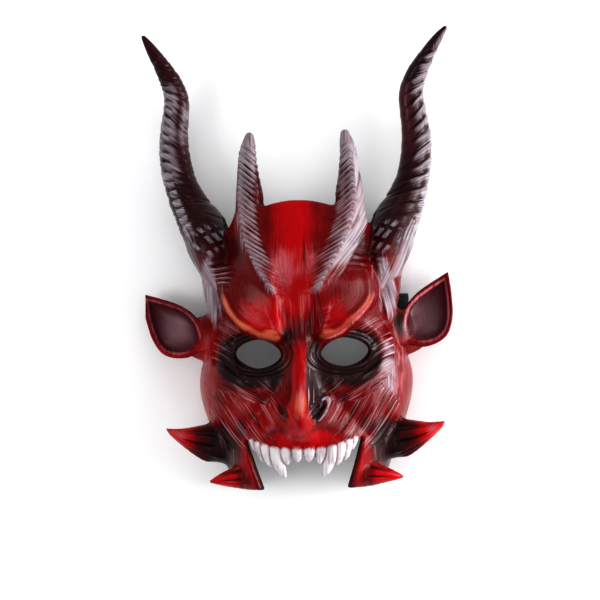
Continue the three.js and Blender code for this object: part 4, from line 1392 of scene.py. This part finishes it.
def pale_lines_and_highlights(at):
    """Where thin pale strokes follow the carving; some of them are painted highlights."""
    cheeks = at.pick(0.42, 0.3) * carve_cheeks(at)[0]
    rays = at.pick(0.2, 0.28) * carve_crows_feet(at)[0]
    # On the right side of the nose the pale lines are painted highlights.
    nose = at.pick(0.2, 1.0) * at.spot((9, -100), (4, 22), 0.5)
    frown = 0.3 * at.spot((-1, -42), (17, 12), 0.6)
    # A painted highlight on the right cheek.
    light = at.pick(0.2, 0.9) * at.spots((71, -92), (10, 28), 0.6)
    jaw = 0.2 * at.spots((62, -150), (12, 16), 0.5)
    # On the temples the lines are partly painted highlights.
    temple = at.pick(0.9, 0.7) * at.spots((70, -26), (9, 30), 0.4)
    return at.on_face * most(cheeks, rays, nose, frown, light, jaw, temple)


def ear_sheen(at):
    """A soft grey sheen painted low in the cups of the ears."""
    cups = at.pick(0.75, 0.5) * fade(0.2, 0.75, at.ear_share) * ease(54, 20, at.ear_way)
    return cups * at.on_ear


for mask in (ember, pink_highlight, pale_lines_and_highlights, ear_sheen):
    put_on(mask)

# %% [markdown]
# ## Paint on the horns, ears and teeth
# The horns are near-black maroon. Silvery paint is dragged over them, heavy on the outer edge and
# on the plates, and it breaks up on the way in; on the right horn's outer edge it is also a painted
# highlight. The white of the teeth covers whatever lies below it, but thins to painted shade in the
# gaps between them.

# %% Maroon
def dark_horn(at):
    """Near-black maroon: the horns, the feet of the spikes and the cups of the ears."""
    big = at.big.on * ease(0.08, 0.24, at.big.share)
    inner = 0.6 * at.inner.on * ease(20, 60, at.y)
    brow_top = 0.6 * at.spots((54, 8), (18, 16), 0.6)
    spikes = 0.6 * at.upper.on * fade(0.4, 0.7, at.upper.share)
    low_spikes = 0.5 * at.lower.on * fade(0.2, 0.5, at.lower.share)
    cups = 0.9 * fade(0.72, 0.9, at.ear_share) * at.on_ear
    return most(big, inner, brow_top, spikes, low_spikes, cups)


def warm_horn(at):
    """Where the horns are a smooth maroon that is less black."""
    middle = band(0.4, 0.6, 0.74, 0.82, at.big.share)
    side = at.pick(0.2, 0.9) * ease(0.3, -0.2, at.big.out) * middle
    return np.maximum(at.big.on * side, at.on_ear)


for mask in (dark_horn, warm_horn):
    put_on(mask)


# %% Silvery dry brush and painted highlights
def silver_and_highlights(at):
    """Pale paint dragged over the horns, temples and folds with a nearly dry brush, and some painted
    highlights.
    """
    out, share = at.big.out, at.big.share
    left_band = 0.78 * band(0.1, 0.4, 0.7, 0.86, out) * ease(0.12, 0.3, share)
    left_lines = 0.72 * ease(-0.9, 0.2, out) * ease(0.35, 0.5, share)
    left_edge = np.maximum(left_band, left_lines) * (1 - 0.8 * ease(0.78, 0.86, share))
    right_edge = 0.58 * ease(-0.6, 0.5, out) * ease(0.2, 0.5, share) * (1 + 0.3 * ease(0.7, 0.85, share))
    # A painted highlight along the outer edge of the right big horn.
    rim = 0.85 * ease(0.5, 0.9, out) * ease(0.1, 0.3, share)
    edge = at.pick(left_edge, np.maximum(right_edge, rim))
    pinch = 0.58 * at.left * ease(0.3, -0.7, out) * bell(share - 0.67, 0.13)
    foot = at.pick(0.5, 0.8) * ease(0.3, 0.8, out) * ease(0.0, 0.08, share) * ease(0.4, 0.22, share)
    big = at.big.on * most(edge, pinch, foot, 0.7 * scale_rows(at))
    tip = 0.85 * at.inner.on * ease(62, 80, at.y)
    spine = bell(at.from_spine - at.pick(0, 1.5), at.pick(7, 9)) * ease(-36, -26, at.y)
    furrows = at.pick(0.7, 0.62) * band(-3, 1, 10, 17, at.from_spine)
    flank = 0.85 * at.right * ease(1, -3, at.from_spine) * fade(12, 16, -at.from_spine)
    furrows = np.maximum(furrows, flank) * ease(-20, 0, at.y)
    horned = np.maximum(at.inner.on, at.on_face * ease(56, 62, at.z)) * (1 - at.big.on)
    root = horned * np.maximum(0.6 * spine, furrows)
    feet = at.pick(0.42, 0.0) * at.spots((60, -13), (13, 8), 0.6)
    # On the temples this is partly a painted highlight.
    temple = at.pick(0.95, 0.75) * at.spots((70, -26), (8, 28), 0.5) * ease(1, 4, at.brow)
    # A painted highlight on the right cheek.
    cheek = at.pick(0.0, 0.78) * at.spots((70, -91), (8, 26), 0.8) * at.on_face
    smear = 0.42 * at.spots((28, -106), (5, 14), 0.8) * at.on_face
    # A painted highlight on the curl of the right nostril.
    curl_highlight = 0.75 * at.right * ease(0.5, 1.3, carve_nostrils(at)[1]) * at.on_face
    return most(big, tip, root, feet, temple, cheek, smear, curl_highlight)


put_on(silver_and_highlights)


# %% Teeth and bare foam
def bone(at):
    """The teeth below the gum, thinned in the gaps between them so the darker paint below shows as painted
    shade.
    """
    near = np.flatnonzero((np.abs(at.x) < 52) & (at.y < -128) & (at.z > 50) & (at.skin > -14))
    least, second, across = np.full(len(near), 9.0), np.full(len(near), 9.0), np.zeros(len(near))
    for tooth in teeth:
        found = tooth.drop(at.x[near], at.y[near], at.z[near])
        second = np.minimum(second, np.maximum(least, found.outside))
        across = np.where(found.outside < least, found.out, across)
        least = np.minimum(least, found.outside)
    mask = np.zeros(len(at.x))
    gum = lip_line(np.abs(at.x[near]) / MOUTH.corner_x) - GUM_ARCH * np.clip(across, -1, 1) ** 2
    # Painted shade in the gaps between neighbouring teeth.
    gap = 1 - 0.75 * fade(0.4, 1.6, second)
    mask[near] = gap * fade(0.5, 1.0, least) * ease(0.5, -1.0, at.y[near] - gum)
    return mask


def unpainted(at):
    """The bare inside of the shell and its cut edges."""
    return ease(-1.6, -3.6, at.skin)


for mask in (bone, unpainted):
    put_on(mask)

# %% [markdown]
# ## A box of nodes
# A material is a chain of small nodes. Writing each of them out takes four lines, so this little
# class keeps the tree and gives every kind of node one short call.

# %% Helpers for materials
MIX_UNDER, MIX_OVER, MIX_COLOUR = 6, 7, 2


class Nodes:
    """The nodes of one material, whose mix node has its colour sockets at the places above."""

    def __init__(self, name):
        self.material = bpy.data.materials.new(name)
        self.material.use_nodes = True
        self.tree = self.material.node_tree
        self.shader = self.tree.nodes["Principled BSDF"]

    def fill(self, socket, value):
        """Links a socket, or sets its plain value."""
        if isinstance(value, bpy.types.NodeSocket):
            self.tree.links.new(value, socket)
        else:
            socket.default_value = value

    def attribute(self, name, output="Fac"):
        node = self.tree.nodes.new("ShaderNodeAttribute")
        node.attribute_name = name
        return node.outputs[output]

    def place(self):
        return self.tree.nodes.new("ShaderNodeTexCoord").outputs["Object"]

    def scaled(self, vector, scale):
        node = self.tree.nodes.new("ShaderNodeVectorMath")
        node.operation = "MULTIPLY"
        self.fill(node.inputs[0], vector)
        node.inputs[1].default_value = scale
        return node.outputs["Vector"]

    def noise(self, vector, scale, detail=3.0):
        node = self.tree.nodes.new("ShaderNodeTexNoise")
        self.fill(node.inputs["Vector"], vector)
        node.inputs["Scale"].default_value = scale
        node.inputs["Detail"].default_value = detail
        return node.outputs["Fac"]

    def math(self, operation, first, second=0.0, third=0.0):
        node = self.tree.nodes.new("ShaderNodeMath")
        node.operation = operation
        for socket, value in zip(node.inputs, (first, second, third)):
            self.fill(socket, value)
        return node.outputs["Value"]

    def times(self, first, second):
        return self.math("MULTIPLY", first, second)

    def plus(self, first, second, share=1.0):
        """The first value and a share of the second."""
        return self.math("MULTIPLY_ADD", second, share, first)

    def between(self, value, low, high, to_low=0.0, to_high=1.0):
        """Goes smoothly from one value to the other between a low and a high input."""
        node = self.tree.nodes.new("ShaderNodeMapRange")
        node.interpolation_type = "SMOOTHSTEP"
        for name, given in (("Value", value), ("From Min", low), ("From Max", high),
                            ("To Min", to_low), ("To Max", to_high)):
            self.fill(node.inputs[name], given)
        return node.outputs["Result"]

    def mix(self, under, over, share):
        node = self.tree.nodes.new("ShaderNodeMix")
        node.data_type = "RGBA"
        self.fill(node.inputs["Factor"], share)
        for place, colour in ((MIX_UNDER, under), (MIX_OVER, over)):
            linked = isinstance(colour, bpy.types.NodeSocket)
            self.fill(node.inputs[place], colour if linked else (*colour, 1))
        return node.outputs[MIX_COLOUR]

    def bump(self, height, distance):
        node = self.tree.nodes.new("ShaderNodeBump")
        self.fill(node.inputs["Height"], height)
        node.inputs["Distance"].default_value = distance
        return node.outputs["Normal"]


print("a mix node takes its two colours at sockets", MIX_UNDER, "and", MIX_OVER)

# %% [markdown]
# ## Painted foam
# The coats are mixed in the order in which a painter lays them: dark red, bright red where the
# form catches light, maroon, black with some painted shade, orange, painted highlights and a painted
# grey sheen in the ears, a black wash that stays in the furrows, then the pale dry brush, which
# mostly touches the crests and in places is a painted highlight, and last the teeth. Where a coat
# ends, noise that is stretched along the carving breaks it up into fine brush strokes.

# %% The colours of the paint, in linear light
RED_DARK = (0.105, 0.0012, 0.0025)
RED_BRIGHT = (0.36, 0.0012, 0.004)
HORN_MAROON = (0.027, 0.0045, 0.006)
WARM_MAROON = (0.065, 0.014, 0.020)
# Black paint, also used for painted shade.
CHARCOAL = (0.020, 0.006, 0.007)
WASH = (0.010, 0.0015, 0.002)
ORANGE = (0.56, 0.14, 0.075)
# For painted highlights and sheen.
HIGHLIGHT_PINK = (0.46, 0.15, 0.17)
# For pale strokes, some of them painted highlights.
LINE_PINK = (0.46, 0.26, 0.29)
# For the dry brush, some of it painted highlights.
SILVER = (0.29, 0.25, 0.28)
# For the painted sheen in the ears.
SHEEN_GREY = (0.22, 0.13, 0.145)
TOOTH_WHITE = (0.60, 0.57, 0.59)
TOOTH_SHADE = (0.34, 0.29, 0.31)
BARE_FOAM = (0.03, 0.012, 0.012)
PAINT_SPECULAR = 0.13
BRUSH_MARK_HEIGHT = 0.00025


print("the brightest paint is the teeth's, at", max(TOOTH_WHITE))


# %% What breaks up the coats
class FoamNodes(Nodes):
    """The nodes of the painted foam, with the grain that every coat shares."""

    def __init__(self, name):
        super().__init__(name)
        self.crest = self.attribute("crest")
        brush = self.attribute("brush", "Vector")
        self.strokes = self.noise(self.scaled(brush, (0.7, 0.06, 1)), 1.0, 3)
        self.hair_lines = self.noise(self.scaled(brush, (0.75, 0.022, 1)), 1.0, 1)
        self.blotches = self.noise(self.place(), 70, 4)
        self.grit = self.noise(self.place(), 900, 3)
        self.uneven = self.plus(self.plus(-1.1, self.blotches, 1.1), self.strokes, 1.1)

    def coat(self, name, low, high, loose):
        """A mask with an edge that is broken up by blotches and strokes."""
        return self.between(self.plus(self.attribute(name), self.uneven, loose), low, high)


foam = FoamNodes("painted_foam_paint")
print("the grain takes", len(foam.tree.nodes), "nodes")


# %% From dark red to the black wash
def wet_coats(box):
    """The coats that are laid on wet, one over the other."""
    red = box.mix(RED_DARK, RED_BRIGHT, box.coat("bright_red", 0.1, 0.95, 0.5))
    maroon = box.mix(HORN_MAROON, WARM_MAROON, box.attribute("warm_horn"))
    colour = box.mix(red, maroon, box.coat("dark_horn", 0.1, 0.9, 0.3))
    # Black paint, with painted shade in a few places.
    colour = box.mix(colour, CHARCOAL, box.coat("soot_and_shade", 0.15, 0.75, 0.9))
    colour = box.mix(colour, ORANGE, box.coat("ember", 0.2, 1.0, 0.3))
    # Painted highlights and sheen, then a painted grey sheen in the ears.
    colour = box.mix(colour, HIGHLIGHT_PINK, box.coat("pink_highlight", 0.2, 1.1, 0.7))
    colour = box.mix(colour, SHEEN_GREY, box.attribute("ear_sheen"))
    furrow = box.between(box.plus(box.crest, box.uneven, 0.3), -0.1, -0.7)
    return box.mix(colour, WASH, box.times(furrow, 0.8))


colour = wet_coats(foam)
print("with the wet coats there are", len(foam.tree.nodes), "nodes")


# %% The dry brush and painted highlights
def pale_strokes_and_highlights(box, hair):
    """How much the thin pale strokes show, on crests and on hair lines; some are painted highlights."""
    top = box.between(box.plus(box.crest, box.uneven, 0.6), 0.62, 1.0)
    line = box.math("MAXIMUM", box.times(top, 0.3), hair)
    return box.times(line, box.attribute("pale_lines_and_highlights"))


def dry_brush_and_highlights(box, hair):
    """How much the pale dry brush shows: most on crests, in stripes, and in streaks where it is thin; in
    places it is a painted highlight.
    """
    silver_and_highlight_share = box.attribute("silver_and_highlights")
    dry = box.plus(box.plus(box.times(box.crest, 0.4), silver_and_highlight_share, 1.2), box.uneven, 0.7)
    striped = box.between(box.plus(box.hair_lines, box.crest, 0.03), 0.48, 0.62, 0.6, 1.2)
    silver_shown = box.times(box.between(dry, 0.5, 1.2), striped)
    streaks = box.times(hair, box.between(silver_and_highlight_share, 0.15, 0.7, 0, 0.8))
    silver_shown = box.math("MAXIMUM", silver_shown, streaks)
    return box.times(silver_shown, box.between(silver_and_highlight_share, 0.02, 0.3))


hair = foam.between(foam.plus(foam.hair_lines, foam.crest, 0.04), 0.58, 0.66)
# Pale strokes, some of them painted highlights.
colour = foam.mix(colour, LINE_PINK, pale_strokes_and_highlights(foam, hair))
silver_shown = dry_brush_and_highlights(foam, hair)
# The silvery dry brush, in places a painted highlight.
colour = foam.mix(colour, SILVER, silver_shown)
print("with the dry brush there are", len(foam.tree.nodes), "nodes")


# %% Teeth, bare foam and gloss
def finish_foam(box, colour, silver_shown):
    """Covers the teeth and bares the inside, then sets the gloss and the relief of the paint."""
    bone_share, bare_share = box.attribute("bone"), box.attribute("unpainted")
    tooth = box.mix(TOOTH_SHADE, TOOTH_WHITE, box.between(box.plus(box.strokes, box.blotches), 0.7, 1.15))
    # The teeth, with painted shade in their gaps.
    colour = box.mix(colour, tooth, bone_share)
    bare = box.mix(BARE_FOAM, RED_DARK, box.between(box.blotches, 0.45, 0.8, 0, 0.3))
    colour = box.mix(colour, bare, box.math("SUBTRACT", bare_share, bone_share))
    box.fill(box.shader.inputs["Base Color"], colour)
    gloss = box.between(box.plus(box.blotches, silver_shown, 0.25), 0.3, 0.8, 0.2, 0.36)
    box.fill(box.shader.inputs["Roughness"], box.between(bare_share, 0.2, 0.8, gloss, 0.85))
    box.shader.inputs["Specular IOR Level"].default_value = PAINT_SPECULAR
    relief = box.plus(box.times(box.strokes, 0.8), box.grit, 0.15)
    box.fill(box.shader.inputs["Normal"], box.bump(relief, BRUSH_MARK_HEIGHT))


finish_foam(foam, colour, silver_shown)
devil.data.materials.append(foam.material)
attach(devil, "root")
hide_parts("mask")
print("the painted foam has", len(foam.tree.nodes), "nodes")

# %% [markdown]
# ## Webbing
# Elastic webbing is woven: warp ribs run along it and weft threads cross them. Two waves at right
# angles, one along and one across the band, make that weave. Where the weave stands highest it is
# painted with a pale sheen.

# %% The strap's weave
WEBBING_BLACK = (0.010, 0.009, 0.010)
WEBBING_SHEEN = (0.16, 0.16, 0.18)
WEBBING_FUZZ = 0.15
THREAD_HEIGHT = 0.0003


def webbing():
    box = Nodes("webbing_weave")
    run, across = [box.times(box.attribute(name), 2 * math.pi) for name in ("weft", "warp")]
    weave = box.times(box.math("SINE", run), box.math("SINE", across))
    fibres = box.noise(box.place(), 1500, 3)
    height = box.plus(weave, fibres, 0.8)
    # The tops of the weave are painted with a pale sheen.
    colour = box.mix(WEBBING_BLACK, WEBBING_SHEEN, box.between(height, 0.5, 1.5))
    box.fill(box.shader.inputs["Base Color"], colour)
    box.fill(box.shader.inputs["Roughness"], box.between(fibres, 0.2, 0.8, 0.7, 0.92))
    box.fill(box.shader.inputs["Normal"], box.bump(height, THREAD_HEIGHT))
    box.shader.inputs["Sheen Weight"].default_value = WEBBING_FUZZ
    return box.material


WEAVE = Named(weft=2.2, warp=1.7)
count_along, count_round = STRAP_STEPS + 1, len(strap_points) // (STRAP_STEPS + 1)
run_along = np.repeat(np.linspace(0, strap_length, count_along), count_round)
write_numbers(strap, "weft", run_along / WEAVE.weft)
write_numbers(strap, "warp", (points_of(strap)[:, 1] - STRAP.y) / WEAVE.warp)
strap.data.materials.append(webbing())
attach(strap, "root")
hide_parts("strap")
print("webbing with a weft thread every", WEAVE.weft, "mm and a warp rib every", WEAVE.warp, "mm")

# %% [markdown]
# ## The floor
# The photograph has a plain white ground. A large pale sheet at the height on which the mask lies
# gives the same ground, and shows by its soft shadows that the mask rests on it.

# %% A pale floor
FLOOR_HALF = 3
FLOOR_GREY = (0.93, 0.93, 0.93, 1)

corners = [(x * FLOOR_HALF, y * FLOOR_HALF, 0) for x, y in ((-1, -1), (1, -1), (1, 1), (-1, 1))]
floor_mesh = bpy.data.meshes.new("floor")
floor_mesh.from_pydata(corners, [], [(0, 1, 2, 3)])
floor = bpy.data.objects.new("floor", floor_mesh)
bpy.context.scene.collection.objects.link(floor)
floor_paint = bpy.data.materials.new("pale_floor")
floor_paint.use_nodes = True
floor_paint.node_tree.nodes["Principled BSDF"].inputs["Base Color"].default_value = FLOOR_GREY
floor.data.materials.append(floor_paint)
print("floor", 2 * FLOOR_HALF, "m wide")

# %% [markdown]
# ## The light
# The studio light is soft and even, so most of it comes from the pale world all round. Four large
# panels add the sheen: those at the sides rake over the carving and catch the silver, and one
# stands beyond the horns. A light from the front would lay a grey veil over the dark paint.

# %% Soft light from the sides
LIGHT_AIM = Vector((0, 0, 0.05))
PANELS = (
    ("right", (1.35, -0.05, 0.6), (0.7, 1.1), 10),
    ("right_low", (1.0, -0.12, 0.2), (0.9, 0.25), 9),
    ("left", (-1.5, -0.3, 1.2), (0.8, 1.0), 11),
    ("head", (0.1, 1.5, 1.1), (1.4, 0.6), 4.5),
)
SKY_COLOUR = (0.97, 0.98, 1, 1)
SKY_STRENGTH = 0.55


def softbox(name, place, size, power):
    """A light panel that faces the middle of the mask."""
    light = bpy.data.lights.new(name, "AREA")
    light.shape = "RECTANGLE"
    light.size, light.size_y = size
    light.energy = power
    made = bpy.data.objects.new(name, light)
    bpy.context.scene.collection.objects.link(made)
    made.location = place
    made.rotation_euler = (LIGHT_AIM - Vector(place)).to_track_quat("-Z", "Y").to_euler()


for panel in PANELS:
    softbox(*panel)
world = bpy.data.worlds.new("studio")
bpy.context.scene.world = world
world.use_nodes = True
sky = world.node_tree.nodes["Background"]
sky.inputs["Color"].default_value = SKY_COLOUR
sky.inputs["Strength"].default_value = SKY_STRENGTH
bpy.context.scene.view_settings.view_transform = "Standard"
bpy.context.scene.view_settings.look = "High Contrast"
print(len(PANELS), "light panels")

# %% [markdown]
# ## The end
# The painted mask has to fill the same room as the imported solids.
